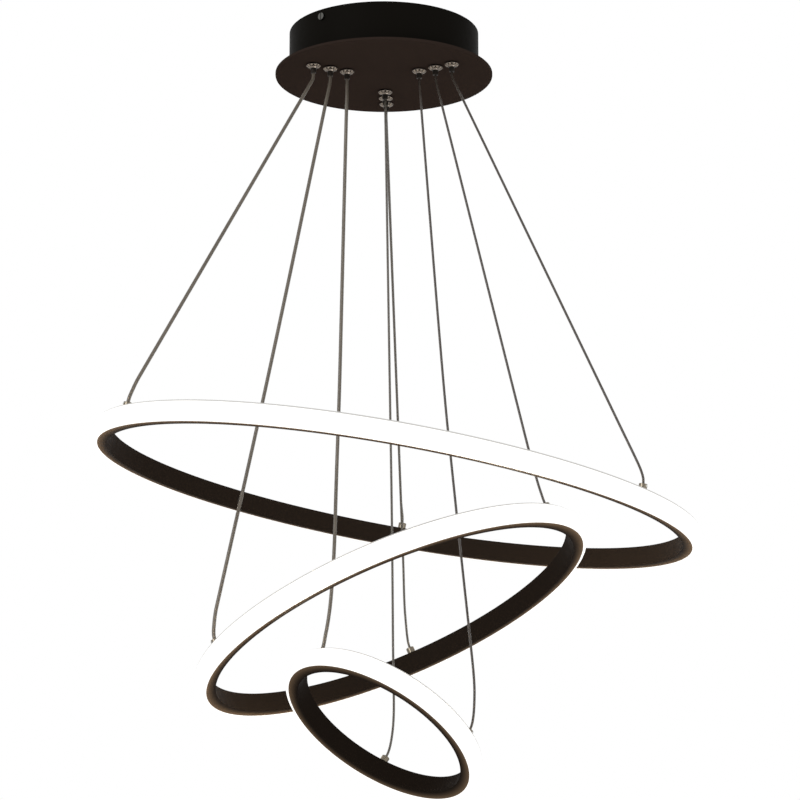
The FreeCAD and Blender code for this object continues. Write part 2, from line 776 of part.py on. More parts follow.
def make_grip(ring, side):
    """Barrel, nut, spring and release nose of one grip, with z = 0 on the plate's lower face."""
    name = f"{ring}_{side}"
    bore = wire_radius(side) + SIZE["wire_play"]
    guide = SIZE["nose_radius"] + SIZE["nose_play"]
    floor = -SIZE["chamber_floor"]
    disc_top = -SIZE["shoulder_height"]
    disc_low = disc_top - SIZE["disc_height"]
    neck_low = -SIZE["neck_drop"]
    x, y = arm_place(ring, side)
    z = -SIZE["canopy_drop"]

    barrel = revolve(
        f"grip_barrel_{name}",
        (
            (guide, neck_low),
            (SIZE["neck_radius"], neck_low),
            (SIZE["neck_radius"], disc_low),
            (SIZE["disc_radius"], disc_low),
            (SIZE["disc_radius"], disc_top),
            (SIZE["shoulder_radius"], disc_top),
            (SIZE["shoulder_radius"], 0),
            (SIZE["stem_radius"], 0),
            (SIZE["stem_radius"], SIZE["stem_height"]),
            (bore, SIZE["stem_height"]),
            (bore, SIZE["chamber_top"]),
            (SIZE["chamber_radius"], SIZE["chamber_top"]),
            (SIZE["chamber_radius"], floor),
            (guide, floor),
        ),
    )
    rim = SIZE["disc_radius"].value
    low = disc_low.value
    round_rims(
        barrel,
        SIZE["disc_round"],
        lambda radius, height: abs(radius - rim) < TOUCH and abs(height - low) < TOUCH,
    )
    move(barrel, x, y, z)

    nut = subtract(
        f"grip_nut_{name}",
        hexagon(f"grip_nut_blank_{name}", SIZE["grip_nut_radius"], SIZE["grip_nut_height"]),
        cylinder(
            f"grip_nut_thread_{name}",
            SIZE["stem_radius"] + SIZE["thread_play"],
            SIZE["grip_nut_height"] * CUTTER,
            z=-SIZE["grip_nut_height"],
        ),
    )
    move(nut, x, y, plate_top())

    collar_low = floor + SIZE["spring_gap"]
    collar_top = collar_low + SIZE["collar_height"]
    nose = revolve(
        f"release_nose_{name}",
        (
            (bore, -SIZE["nose_drop"]),
            (SIZE["nose_radius"], -SIZE["nose_drop"]),
            (SIZE["nose_radius"], collar_low),
            (SIZE["collar_radius"], collar_low),
            (SIZE["collar_radius"], collar_top),
            (bore, collar_top),
        ),
    )
    mouth = SIZE["nose_radius"].value
    drop = -SIZE["nose_drop"].value
    round_rims(
        nose,
        SIZE["nose_round"],
        lambda radius, height: abs(radius - mouth) < TOUCH and abs(height - drop) < TOUCH,
    )
    move(nose, x, y, z)

    spring_low = collar_top + SIZE["spring_gap"]
    spring_top = SIZE["chamber_top"] - SIZE["spring_gap"]
    spring = revolve(
        f"grip_spring_{name}",
        (
            (SIZE["spring_inner"], spring_low),
            (SIZE["spring_outer"], spring_low),
            (SIZE["spring_outer"], spring_top),
            (SIZE["spring_inner"], spring_top),
        ),
    )
    move(spring, x, y, z)
    return barrel, nut, nose, spring


def make_grips():
    """All nine grips: shared nodes for what stands still, one node for each nose."""
    barrels, nuts, noses, springs = [], [], [], []
    for ring in RINGS:
        for side in SIDES:
            barrel, nut, nose, spring = make_grip(ring, side)
            barrels.append(barrel)
            nuts.append(nut)
            noses.append(nose)
            springs.append(spring)
    return [
        group("grip_barrels", barrels),
        group("grip_nuts", nuts),
        group("grip_springs", springs),
    ] + noses


# ---------------------------------------------------------------- wires


def tube(points, radius, label):
    """Round solid along straight runs joined by tangent arcs. Prints its length and bends."""
    edges = []
    length = 0.0
    radii = []
    start = points[0]
    for before, corner, after in zip(points, points[1:], points[2:]):
        into = corner - before
        out = after - corner
        turn = into.getAngle(out)
        shorter = min(into.Length, out.Length)
        reach = TUBE_ARC_SHARE * shorter
        into.normalize()
        out.normalize()
        enter = corner - into * reach
        leave = corner + out * reach
        middle_way = (out - into).normalize()
        bend = reach / math.tan(turn / 2)
        centre = corner + middle_way * (bend / math.cos(turn / 2))
        inner = centre - middle_way * bend
        edges.append(Part.LineSegment(start, enter).toShape())
        edges.append(Part.Arc(enter, inner, leave).toShape())
        length += (enter - start).Length + bend * turn
        radii.append(round(bend, 1))
        start = leave
    edges.append(Part.LineSegment(start, points[-1]).toShape())
    length += (points[-1] - start).Length
    path = Part.Wire(edges)
    ring = Part.makeCircle(radius, points[0], points[1] - points[0])
    solid = path.makePipeShell([Part.Wire([ring])], True, True)
    share = solid.Volume / (math.pi * radius**2 * length)
    print(f"{label}: length {length:.1f}, bend radii {radii}, volume {share:.4f} of section x length")
    return solid


def feature(label, shape):
    """A finished shape under its own label."""
    thing = document.addObject("Part::Feature", label)
    thing.Label = label
    thing.Shape = shape
    return thing


def value(name):
    """The plain number of a size."""
    return SIZE[name].value


def ring_place(ring):
    """Where a ring hangs: its middle, and its axis leaning as in the photograph."""
    tilt = math.radians(value(f"{ring}_tilt"))
    turn = math.radians(value(f"{ring}_tilt_turn"))
    level = math.sin(tilt)
    up = Vector(level * math.cos(turn), level * math.sin(turn), math.cos(tilt))
    across = Vector(0, 1, 0).cross(up).normalize()
    middle = Vector(value(f"{ring}_x"), value(f"{ring}_y"), value(f"{ring}_z"))
    return Placement(middle, Rotation(across, up.cross(across), up, "ZXY"))


def stud_place(ring, side):
    """Foot of a wire fitting, in the ring's own frame."""
    angle = math.radians(value(f"{ring}_{side}"))
    radius = value(f"{ring}_radius") - value("stud_inset")
    return Vector(radius * math.cos(angle), radius * math.sin(angle), value("profile_height") / 2)


def make_wire(ring, side):
    """One suspension wire, from the mouth of its nose to the bottom of its fitting's bore."""
    x, y = (size.value for size in arm_place(ring, side))
    mouth = Vector(x, y, -value("canopy_drop") - value("nose_drop"))
    foot = stud_place(ring, side) + Vector(0, 0, value("stud_height") - value("stud_bore_depth"))
    place = ring_place(ring)
    points = [mouth, mouth - Vector(0, 0, NOSE_LEAD[side])]
    points += [Vector(*point) for point in WIRE_ROUTES[(ring, side)]]
    points += [place.multVec(foot + Vector(0, 0, FITTING_LEAD)), place.multVec(foot)]
    label = f"{ring}_wire_{side}"
    return feature(label, tube(points, wire_radius(side).value, label))


def make_tails():
    """The spare wire above each grip and the stop crimped on its end."""
    tails, stops = [], []
    for ring in RINGS:
        for side in SIDES:
            x, y = (size.value for size in arm_place(ring, side))
            low = -value("canopy_drop")
            level = low + value("tail_rise")
            along = Vector(-y, x, 0).normalize()
            start = Vector(x, y, low - value("nose_drop"))
            corner = Vector(x, y, level)
            end = corner + along * value("tail_run")
            radius = wire_radius(side).value
            label = f"tail_{ring}_{side}"
            tails.append(feature(label, tube([start, corner, end], radius, label)))
            seat = end - along * (value("stop_length") + value("stop_setback"))
            hole = radius + value("thread_play")
            sleeve = Part.makeCylinder(hole + value("stop_wall"), value("stop_length"), seat, along)
            bore = Part.makeCylinder(hole, value("stop_length"), seat, along)
            stops.append(feature(f"stop_{ring}_{side}", sleeve.cut(bore)))
    return [group("wire_tails", tails), group("tail_stops", stops)]


def make_leads():
    """Leads from the terminal block to the drivers."""
    leads = []
    height = plate_top().value + value("terminal_height") / 2
    half_length = value("terminal_length") / 2
    half_width = value("terminal_width") / 2
    offset = value("lead_offset")
    inner_face = driver_middle().value - value("driver_width") / 2
    starts = {
        "large": (Vector(half_length, offset, height), Vector(1, 0, 0)),
        "medium": (Vector(-half_length, offset, height), Vector(-1, 0, 0)),
        "small": (Vector(0, -half_width, height), Vector(0, -1, 0)),
    }
    for ring in RINGS:
        start, away = starts[ring]
        turn = math.radians(driver_turn(ring))
        radial = Vector(math.cos(turn), math.sin(turn), 0)
        end = radial * inner_face
        end.z = height
        step = (end - start).Length / LEAD_PARTS
        points = [start, start + away * step, end - radial * step, end]
        leads.append(feature(f"lead_{ring}", tube(points, value("lead_radius"), f"lead_{ring}")))
    return [group("driver_leads", leads)]


# ---------------------------------------------------------------- light rings


def channel_back(ring):
    """Radius of the channel's inner face, which shows inside the ring."""
    return SIZE[f"{ring}_radius"] - SIZE["diffuser_proud"] - SIZE["channel_depth"]


def make_channel(ring):
    """Bent aluminium channel, open outwards, with three holes for the fittings' stems."""
    wall = SIZE["channel_wall"]
    inner = channel_back(ring)
    outer = inner + SIZE["channel_depth"]
    top = SIZE["profile_height"] / 2
    body = revolve(
        f"{ring}_channel",
        (
            (inner, -top),
            (outer, -top),
            (outer, wall - top),
            (inner + wall, wall - top),
            (inner + wall, top - wall),
            (outer, top - wall),
            (outer, top),
            (inner, top),
        ),
    )
    edge = inner.value
    round_rims(body, SIZE["channel_edge_round"], lambda radius, height: abs(radius - edge) < TOUCH)
    holes = new_sketch(body, "XY_Plane")
    radius = SIZE[f"{ring}_radius"] - SIZE["stud_inset"]
    for side in SIDES:
        angle = SIZE[f"{ring}_{side}"]
        hole = SIZE["stud_stem"] + SIZE["thread_play"]
        add_circle(holes, hole, radius * cos_of(angle), radius * sin_of(angle))
    cut_depth(body, holes, SIZE["profile_height"])
    body.Placement = ring_place(ring)
    return body


def make_diffuser(ring):
    """Opal cover: an outer wall, two shoulders and two legs that clip behind the channel's lips."""
    outer = SIZE[f"{ring}_radius"]
    lip = outer - SIZE["diffuser_proud"]
    leg_end = lip - SIZE["diffuser_leg"]
    wall = SIZE["diffuser_wall"]
    top = SIZE["profile_height"] / 2
    leg_top = top - SIZE["channel_wall"] - SIZE["diffuser_play"]
    leg_low = leg_top - wall
    body = revolve(
        f"{ring}_diffuser",
        (
            (outer, -top),
            (outer, top),
            (lip, top),
            (lip, leg_top),
            (leg_end, leg_top),
            (leg_end, leg_low),
            (outer - wall, leg_low),
            (outer - wall, -leg_low),
            (leg_end, -leg_low),
            (leg_end, -leg_top),
            (lip, -leg_top),
            (lip, -top),
        ),
    )
    edge = outer.value
    round_rims(body, SIZE["diffuser_round"], lambda radius, height: abs(radius - edge) < TOUCH)
    body.Placement = ring_place(ring)
    return body


def make_strip(ring):
    """LED strip on the outer side of the channel's wall, with its chips."""
    back = channel_back(ring) + SIZE["channel_wall"]
    face = back + SIZE["strip_thickness"]
    half = SIZE["strip_width"] / 2
    body = revolve(f"{ring}_strip", ((back, -half), (face, -half), (face, half), (back, half)))
    document.recompute()
    chip = new_sketch(body, "XY_Plane")
    half_chip = SIZE["chip_width"] / 2
    root = face - SIZE["strip_thickness"] / 2
    front = face + SIZE["chip_proud"]
    corners = ((root, -half_chip), (front, -half_chip), (front, half_chip), (root, half_chip))
    add_outline(chip, corners)
    block = pad(body, chip, SIZE["chip_height"], midplane=True)
    count = round(2 * math.pi * face.value / value("chip_pitch"))
    around(body, block, count)
    body.Placement = ring_place(ring)
    return body


def make_splice(ring):
    """Joining piece in the corner of the channel, behind the ring's seam."""
    gap = SIZE["splice_gap"]
    inner = channel_back(ring) + SIZE["channel_wall"] + gap
    top = SIZE["profile_height"] / 2 - SIZE["channel_wall"] - gap
    low = top - SIZE["splice_height"]
    outer = inner + SIZE["splice_depth"]
    angle = SIZE["splice_length"] / outer * (180.0 / math.pi)
    corners = ((inner, low), (outer, low), (outer, top), (inner, top))
    body = revolve(f"{ring}_splice", corners, angle)
    body.Placement = ring_place(ring).multiply(turned(SPLICE_TURN))
    return body


def make_studs(ring):
    """The three wire fittings of a ring, their nuts and their set screws."""
    studs, nuts, grubs = [], [], []
    stem = SIZE["stud_stem"]
    stem_low = -SIZE["stud_stem_length"]
    height = SIZE["stud_height"]
    for side in SIDES:
        name = f"{ring}_{side}"
        bore = wire_radius(side) + SIZE["thread_play"]
        bore_low = height - SIZE["stud_bore_depth"]
        place = turned(value(name), *stud_place(ring, side))

        blank = revolve(
            f"stud_blank_{name}",
            (
                (0, stem_low),
                (stem, stem_low),
                (stem, 0),
                (SIZE["stud_radius"], 0),
                (SIZE["stud_radius"], height),
                (0, height),
            ),
        )
        rim = height.value
        round_rims(blank, SIZE["stud_round"], lambda radius, level: abs(level - rim) < TOUCH)
        hole = cylinder(f"stud_bore_{name}", bore, height, z=bore_low)
        thread = SIZE["grub_radius"] + SIZE["grub_play"]
        side_hole = cylinder(f"stud_thread_{name}", thread, SIZE["stud_radius"] * 2)
        side_hole.Placement = Placement(Vector(), Rotation(Vector(0, 1, 0), 90))
        move(side_hole, 0, 0, SIZE["grub_rise"])
        stud = subtract(f"stud_{name}", blank, join(f"stud_holes_{name}", [hole, side_hole]))
        stud.Placement = place
        studs.append(stud)

        thick = SIZE["stud_nut_height"]
        nut = subtract(
            f"stud_nut_{name}",
            hexagon(f"stud_nut_blank_{name}", SIZE["stud_nut_radius"], thick),
            cylinder(
                f"stud_nut_thread_{name}",
                stem + SIZE["thread_play"],
                thick * CUTTER,
                z=-thick,
            ),
        )
        under = value("channel_wall") + value("stud_nut_height") + value("thread_play")
        nut.Placement = place.multiply(Placement(Vector(0, 0, -under), Rotation()))
        nuts.append(nut)

        reach = SIZE["stud_radius"] - bore + SIZE["grub_proud"]
        pin = cylinder(f"grub_pin_{name}", SIZE["grub_radius"], reach)
        pin.Placement = Placement(Vector(), Rotation(Vector(0, 1, 0), 90))
        move(pin, bore, 0, SIZE["grub_rise"])
        grub = group(f"grub_{name}", [pin])
        grub.Placement = place
        grubs.append(grub)
    nodes = [
        group(f"{ring}_studs", studs),
        group(f"{ring}_stud_nuts", nuts),
        group(f"{ring}_set_screws", grubs),
    ]
    for node in nodes:
        node.Placement = ring_place(ring)
    return nodes


def make_ring(ring):
    """Everything that hangs on one ring's three wires, and the wires."""
    nodes = [make_channel(ring), make_diffuser(ring), make_strip(ring), make_splice(ring)]
    nodes += make_studs(ring)
    nodes += [make_wire(ring, side) for side in SIDES]
    return nodes


# ---------------------------------------------------------------- whole lamp


def check_and_write(nodes):
    """Stops on a failed object, then writes each sub-part to its own file."""
    document.recompute()
    for thing in document.Objects:
        if "Invalid" in thing.State or "Error" in thing.State:
            raise RuntimeError(f"{thing.Label} failed: {thing.State}")
    for node in nodes:
        if node.Shape.isNull() or not node.Shape.isValid() or not node.Shape.Solids:
            raise RuntimeError(f"{node.Label} has no sound solid")
    os.makedirs("parts", exist_ok=True)
    for node in nodes:
        node.Shape.exportStep(f"parts/{node.Label}.step")
        print(f"{node.Label}: {len(node.Shape.Solids)} solid(s), {node.Shape.Volume:.1f} mm3")


def main():
    """Builds the canopy, the grips and the three rings."""
    nodes = [make_bracket(), make_drum(), make_plate()]
    nodes += make_canopy_screws()
    nodes += make_drivers()
    nodes += make_terminal()
    nodes += make_leads()
    nodes += make_grips()
    nodes += make_tails()
    for ring in RINGS:
        nodes += make_ring(ring)
    check_and_write(nodes)


main()
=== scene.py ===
"""Looks of the LED ring chandelier, in metres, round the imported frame.

The frame brings every rigid part. This script replaces the wires and the grip bodies with finer
pieces, gives every part its finish, and sets the light and the camera of the photograph.
"""

import logging
import math
from collections.abc import Callable, Iterator, Sequence
from dataclasses import dataclass, field, replace
from enum import Enum

import bmesh
import bpy
from mathutils import Euler, Matrix, Vector


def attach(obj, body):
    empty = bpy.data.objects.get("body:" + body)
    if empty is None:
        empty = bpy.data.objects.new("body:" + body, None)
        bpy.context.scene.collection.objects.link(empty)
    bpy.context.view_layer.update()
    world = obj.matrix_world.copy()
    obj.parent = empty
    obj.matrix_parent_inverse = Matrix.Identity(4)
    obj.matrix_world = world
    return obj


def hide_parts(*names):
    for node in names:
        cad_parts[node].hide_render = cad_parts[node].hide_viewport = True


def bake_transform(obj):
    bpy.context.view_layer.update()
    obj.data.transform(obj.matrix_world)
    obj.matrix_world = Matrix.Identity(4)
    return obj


LOG = logging.getLogger("chandelier")

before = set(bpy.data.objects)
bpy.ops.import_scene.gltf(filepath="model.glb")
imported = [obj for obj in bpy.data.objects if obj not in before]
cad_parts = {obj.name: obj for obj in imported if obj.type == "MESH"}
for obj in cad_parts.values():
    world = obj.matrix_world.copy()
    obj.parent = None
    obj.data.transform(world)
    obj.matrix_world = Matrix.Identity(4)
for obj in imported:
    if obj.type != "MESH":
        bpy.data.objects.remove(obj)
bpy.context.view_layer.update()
# painted shade: these mark where the grip bodies' colour is darkened, for the shade and dark
# reflections in their flutes and recesses
SHADE_ATTRIBUTE = "flute_shade"  # mesh value: how deep a point lies in a flute
FULL_SHADE = -1.0  # share of the flutes that says: a dark recess with no flutes
FULL_TURN = 2.0 * math.pi
UP = Vector((0.0, 0.0, 1.0))

Colour = tuple[float, float, float]
Point = tuple[float, float, float]
Corner = tuple[float, float, float]  # of a section: radius, height and share of the flutes
Material = bpy.types.Material
Mesh = bmesh.types.BMesh
Shader = bpy.types.ShaderNode
Socket = bpy.types.NodeSocket
Thing = bpy.types.Object
Tree = bpy.types.NodeTree


def around(radius: float, angle: float, height: float = 0.0) -> Vector:
    """The point at a radius, an angle in radians and a height round the upright axis."""
    return Vector((radius * math.cos(angle), radius * math.sin(angle), height))


class Side(Enum):
    """The three rows of cable grips, and each one's direction from the canopy's axis in degrees."""

    BACK = 88.0
    LEFT = 208.0
    RIGHT = 328.0

    @property
    def word(self) -> str:
        """The side's name as the frame writes it."""
        return self.name.lower()


# ---- sizes


@dataclass(frozen=True)
class Grip:
    """Sizes of a cable grip: drops go down from the plate's lower face, heights go up from it."""

    plate_drop: float = 0.0455
    nose_drop: float = 0.0096
    stem_height: float = 0.0145
    stem_radius: float = 0.0042
    disc_radius: float = 0.0072
    disc_height: float = 0.0019
    shoulder_radius: float = 0.0054
    shoulder_height: float = 0.0015
    neck_radius: float = 0.0036
    neck_drop: float = 0.0049
    guide_radius: float = 0.0028
    chamber_radius: float = 0.0035
    chamber_top: float = 0.0115
    chamber_floor: float = 0.0012
    wire_play: float = 0.00015
    thread_pitch: float = 0.00125
    thread_depth: float = 0.0003
    thread_flank: float = 0.35  # half of a crest's foot, in pitches
    neck_edge: float = 0.0003
    neck_fillet: float = 0.0002
    stem_edge: float = 0.0004
    flutes: int = 10
    flute_sides: int = 10  # mesh faces across one flute
    flute_depth: float = 0.0012
    flute_inset: float = 0.0006
    flute_power: float = 1.5  # more makes the lands between the flutes wider
    # painted shade spreads further towards the flutes' edges as this grows
    flute_shade_reach: float = 1.4  # more darkens the flutes nearer to their edges
    # the disc's lower face, from the neck out: inset from the rim, height, share of the flutes
    disc_curve: tuple[Corner, ...] = (
        (0.0027, 0.0, 0.8),
        (0.0016, 0.0001, 1.0),
        (0.0009, 0.0004, 1.0),
        (0.0003, 0.0009, 0.9),
        (0.0, 0.0014, 0.4),
    )


@dataclass(frozen=True)
class LightRing:
    """One ring: its size, where it hangs, how it leans and where its three wires meet it."""

    name: str
    radius: float
    middle: Point
    tilt: float
    tilt_turn: float
    grip_radius: float
    fittings: dict[Side, float]  # each fitting's direction round the ring in degrees
    # painted shade: share that darkens this ring's metal, a shaded copy of the one finish of all
    # rings
    painted_ring_shade: float = 1.0
    half_height: float = 0.010
    fitting_inset: float = 0.010
    wire_seat: float = 0.0026

    @property
    def body(self) -> str:
        """The frame's body that the ring rides on."""
        return f"{self.name}_ring"

    @property
    def axis(self) -> Vector:
        """The ring's own axis, pointing up."""
        tilt = math.radians(self.tilt)
        return around(math.sin(tilt), math.radians(self.tilt_turn), math.cos(tilt))

    def place(self) -> Matrix:
        """The ring's own frame in the row's frame.

        Returns:
            A matrix that takes ring points to the row's frame.
        """
        up = self.axis
        across = Vector((0.0, 1.0, 0.0)).cross(up).normalized()
        turn = Matrix((across, up.cross(across), up)).transposed().to_4x4()
        return Matrix.Translation(self.middle) @ turn

    def wire_end(self, side: Side) -> Vector:
        """Where a wire ends, at the bottom of its fitting's bore.

        Args:
            side: The row that the wire comes from.

        Returns:
            The point in the row's frame.
        """
        radius = self.radius - self.fitting_inset
        height = self.half_height + self.wire_seat
        return self.place() @ around(radius, math.radians(self.fittings[side]), height)

    def grip(self, side: Side) -> Vector:
        """The middle of the grip in a row, on the plate's lower face."""
        way = around(1.0, math.radians(side.value))
        return way * self.grip_radius - UP * GRIP.plate_drop


@dataclass(frozen=True)
class GripSpring:
    """Sizes of the coil spring in a grip, measured up from the plate's lower face."""

    low: float = 0.00090
    top: float = 0.01145
    coil_radius: float = 0.00274
    wire_radius: float = 0.00036
    turns: int = 6
    closed: float = 0.6  # turns that lie flat at each end
    steps: int = 28
    sides: int = 10

    def line(self, middle: Vector) -> list[Vector]:
        """Centre line of the spring's wire.

        Args:
            middle: The grip's place on the plate's lower face.

        Returns:
            Points along the coil, from its lower end up.
        """
        count = self.turns * self.steps
        first = self.low + self.wire_radius
        rise = self.top - self.wire_radius - first
        points = []
        for number in range(count + 1):
            angle = FULL_TURN * number / self.steps
            share = (number / self.steps - self.closed) / (self.turns - 2.0 * self.closed)
            height = first + rise * min(1.0, max(0.0, share))
            points.append(middle + around(self.coil_radius, angle, height))
        return points


GRIP = Grip()
SPRING = GripSpring()
LARGE = LightRing(
    "large", radius=0.300, middle=(0.012, -0.002, -0.4745), tilt=10.51, tilt_turn=-14.04,
    grip_radius=0.080, fittings={Side.LEFT: 206.0, Side.RIGHT: 323.0, Side.BACK: 89.2},
)
MEDIUM = LightRing(
    "medium", radius=0.202, middle=(0.009, 0.001, -0.597), tilt=23.47, tilt_turn=161.61,
    grip_radius=0.061, fittings={Side.LEFT: 206.5, Side.RIGHT: 331.3, Side.BACK: 85.0},
    painted_ring_shade=0.88,
)
SMALL = LightRing(
    "small", radius=0.1035, middle=(0.0, 0.001, -0.707), tilt=34.93, tilt_turn=33.26,
    grip_radius=0.042, fittings={Side.LEFT: 205.0, Side.RIGHT: 325.5, Side.BACK: 82.8},
    painted_ring_shade=0.72,
)
RINGS = (LARGE, MEDIUM, SMALL)


def each_grip() -> Iterator[tuple[LightRing, Side]]:
    """The nine cable grips, ring by ring.

    Yields:
        The ring and the row of each.
    """
    for ring in RINGS:
        for side in Side:
            yield ring, side


# ---- shared shader effects


def fill(tree: Tree, socket: Socket, value: object) -> None:
    """Fills a socket.

    Args:
        tree: The tree that the socket is in.
        socket: The socket.
        value: Another socket to link, or a plain value.
    """
    if isinstance(value, Socket):
        tree.links.new(value, socket)
    else:
        socket.default_value = value


def add_node(tree: Tree, kind: str, links: dict[str | int, object], **settings: object) -> Shader:
    """Adds a node, sets its options and fills its sockets.

    Args:
        tree: The tree that gets the node.
        kind: The node's type name.
        links: For each input, a socket to link or a plain value.
        **settings: Options of the node itself.

    Returns:
        The new node.
    """
    node = tree.nodes.new(kind)
    for name, value in settings.items():
        setattr(node, name, value)
    for name, value in links.items():
        fill(tree, node.inputs[name], value)
    return node


def math_node(tree: Tree, operation: str, *values: object, clamp: bool = False) -> Socket:
    """The result of one step of arithmetic, held between 0 and 1 if asked."""
    links = dict(enumerate(values))
    return add_node(tree, "ShaderNodeMath", links, operation=operation, use_clamp=clamp).outputs[0]


def vector_node(tree: Tree, operation: str, *values: object) -> Shader:
    """The node of one step of vector arithmetic."""
    return add_node(tree, "ShaderNodeVectorMath", dict(enumerate(values)), operation=operation)


def scale_vector(tree: Tree, vector: Socket, share: object) -> Socket:
    """A vector times a number."""
    links = {0: vector, "Scale": share}
    return add_node(tree, "ShaderNodeVectorMath", links, operation="SCALE").outputs["Vector"]


def object_place(tree: Tree) -> Socket:
    """The place of a point in its object's own frame."""
    return add_node(tree, "ShaderNodeTexCoord", {}).outputs["Object"]


def noise(tree: Tree, place: Socket, scale: object, detail: float, twist: float = 0.0) -> Socket:
    """The value of a noise at a place."""
    links = {"Vector": place, "Scale": scale, "Detail": detail, "Distortion": twist}
    return add_node(tree, "ShaderNodeTexNoise", links).outputs["Fac"]


def remap(
    tree: Tree, value: Socket, start: float, end: float, low: float = 0.0, high: float = 1.0
) -> Socket:
    """Stretches the values from start to end over low to high, and holds the rest there."""
    links = {"Value": value, "From Min": start, "From Max": end, "To Min": low, "To Max": high}
    return add_node(tree, "ShaderNodeMapRange", links).outputs[0]


@dataclass
class Effect:
    """A shader node group while it is being built."""

    name: str
    inputs: dict[str, tuple[str, object]]
    tree: Tree = field(init=False)
    into: Shader = field(init=False)

    def __post_init__(self) -> None:
        """Makes the group with its named inputs."""
        self.tree = bpy.data.node_groups.new(self.name, "ShaderNodeTree")
        for name, (kind, start) in self.inputs.items():
            socket = self.tree.interface.new_socket(name=name, in_out="INPUT", socket_type=kind)
            socket.default_value = start
        self.into = self.tree.nodes.new("NodeGroupInput")

    def give(self, values: dict[str, Socket]) -> Tree:
        """Ends the group with its named outputs.

        Args:
            values: The number that each output gives.

        Returns:
            The finished group.
        """
        make = self.tree.interface.new_socket
        for name in values:
            make(name=name, in_out="OUTPUT", socket_type="NodeSocketFloat")
        out = self.tree.nodes.new("NodeGroupOutput")
        for name, value in values.items():
            self.tree.links.new(value, out.inputs[name])
        return self.tree


@dataclass(frozen=True)
class Texture:
    """Scales and limits of the shared effects."""

    mottle_scale: float = 28.0
    smudge_scale: float = 70.0
    smudge_twist: float = 1.4
    smudge_span: tuple[float, float] = (0.3, 0.7)
    patch_scale: float = 160.0
    dusty_slopes: tuple[float, float] = (0.55, 0.95)
    line_fineness: float = 2500.0
    line_drift: float = 0.004


TEXTURE = Texture()


def build_grain() -> Tree:
    """Fine unevenness of a painted or moulded surface, and slow change of its colour and gloss.

    Returns:
        The group.
    """
    effect = Effect("surface grain", {"Scale": ("NodeSocketFloat", 900.0)})
    tree = effect.tree
    place = object_place(tree)
    return effect.give({
        "Height": noise(tree, place, effect.into.outputs["Scale"], detail=3.0),
        "Mottle": noise(tree, place, TEXTURE.mottle_scale, detail=4.0),
        "Smudge": noise(tree, place, TEXTURE.smudge_scale, 5.0, TEXTURE.smudge_twist),
    })


def build_dust() -> Tree:
    """A thin film on what faces up, heavier in patches.

    Returns:
        The group.
    """
    effect = Effect("settled dust", {"Amount": ("NodeSocketFloat", 0.2)})
    tree = effect.tree
    normal = add_node(tree, "ShaderNodeNewGeometry", {}).outputs["Normal"]
    upward = add_node(tree, "ShaderNodeSeparateXYZ", {0: normal}).outputs["Z"]
    top = remap(tree, upward, *TEXTURE.dusty_slopes)
    patch = noise(tree, object_place(tree), TEXTURE.patch_scale, detail=6.0)
    share = math_node(tree, "MULTIPLY", top, patch)
    amount = effect.into.outputs["Amount"]
    return effect.give({"Mask": math_node(tree, "MULTIPLY", share, amount, clamp=True)})


def build_ring_lines() -> Tree:
    """Fine lines that run round a ring's axis, and a point's height and radius in the ring.

    Returns:
        The group. Its Level goes from -1 to 1 between the rims, and its Rim is 1 at both.
    """
    effect = Effect("ring lines", {
        "Middle": ("NodeSocketVector", (0.0, 0.0, 0.0)),
        "Axis": ("NodeSocketVector", (0.0, 0.0, 1.0)),
        "Fineness": ("NodeSocketFloat", TEXTURE.line_fineness),
        "Half height": ("NodeSocketFloat", 0.010),
    })
    tree = effect.tree
    sockets = effect.into.outputs
    away = vector_node(tree, "SUBTRACT", object_place(tree), sockets["Middle"]).outputs["Vector"]
    level = vector_node(tree, "DOT_PRODUCT", away, sockets["Axis"]).outputs["Value"]
    lift = scale_vector(tree, sockets["Axis"], level)
    flat = vector_node(tree, "SUBTRACT", away, lift).outputs["Vector"]
    radius = vector_node(tree, "LENGTH", flat).outputs["Value"]
    slow = scale_vector(tree, flat, TEXTURE.line_drift)
    drift = vector_node(tree, "LENGTH", slow).outputs["Value"]
    across = add_node(tree, "ShaderNodeCombineXYZ", {"X": radius, "Y": level, "Z": drift})
    share = math_node(tree, "DIVIDE", level, sockets["Half height"])
    return effect.give({
        "Lines": noise(tree, across.outputs[0], sockets["Fineness"], detail=2.0),
        "Rim": math_node(tree, "ABSOLUTE", share),
        "Level": share,
        "Radius": radius,
    })


@dataclass
class Effects:
    """The shared effects, built once."""

    grain: Tree = field(default_factory=build_grain)
    dust: Tree = field(default_factory=build_dust)
    lines: Tree = field(default_factory=build_ring_lines)

    def place_grain(self, tree: Tree, scale: float) -> Shader:
        """Puts the grain into a material."""
        return add_node(tree, "ShaderNodeGroup", {"Scale": scale}, node_tree=self.grain)

    def place_dust(self, tree: Tree, amount: float) -> Socket:
        """Puts the dust into a material and gives its mask."""
        group = add_node(tree, "ShaderNodeGroup", {"Amount": amount}, node_tree=self.dust)
        return group.outputs["Mask"]

    def place_lines(self, tree: Tree, ring: LightRing) -> Shader:
        """Puts a ring's lines into a material."""
        links = {"Middle": ring.middle, "Axis": tuple(ring.axis), "Half height": ring.half_height}
        return add_node(tree, "ShaderNodeGroup", links, node_tree=self.lines)


# ---- finishes


def rgba(colour: Colour, share: float = 1.0) -> tuple[float, float, float, float]:
    """A colour for a shader socket, made lighter or darker by a share."""
    return (colour[0] * share, colour[1] * share, colour[2] * share, 1.0)


def new_material(name: str) -> tuple[Material, Tree]:
    """An empty material.

    Args:
        name: The material's name.

    Returns:
        The material and its node tree.
    """
    material = bpy.data.materials.new(name)
    material.use_nodes = True
    return material, material.node_tree


def fill_shader(tree: Tree, values: dict[str, object]) -> None:
    """Fills sockets of a material's Principled BSDF.

    Args:
        tree: The material's tree.
        values: For each socket, another one to link or a plain value.
    """
    for name, value in values.items():
        fill(tree, tree.nodes["Principled BSDF"].inputs[name], value)


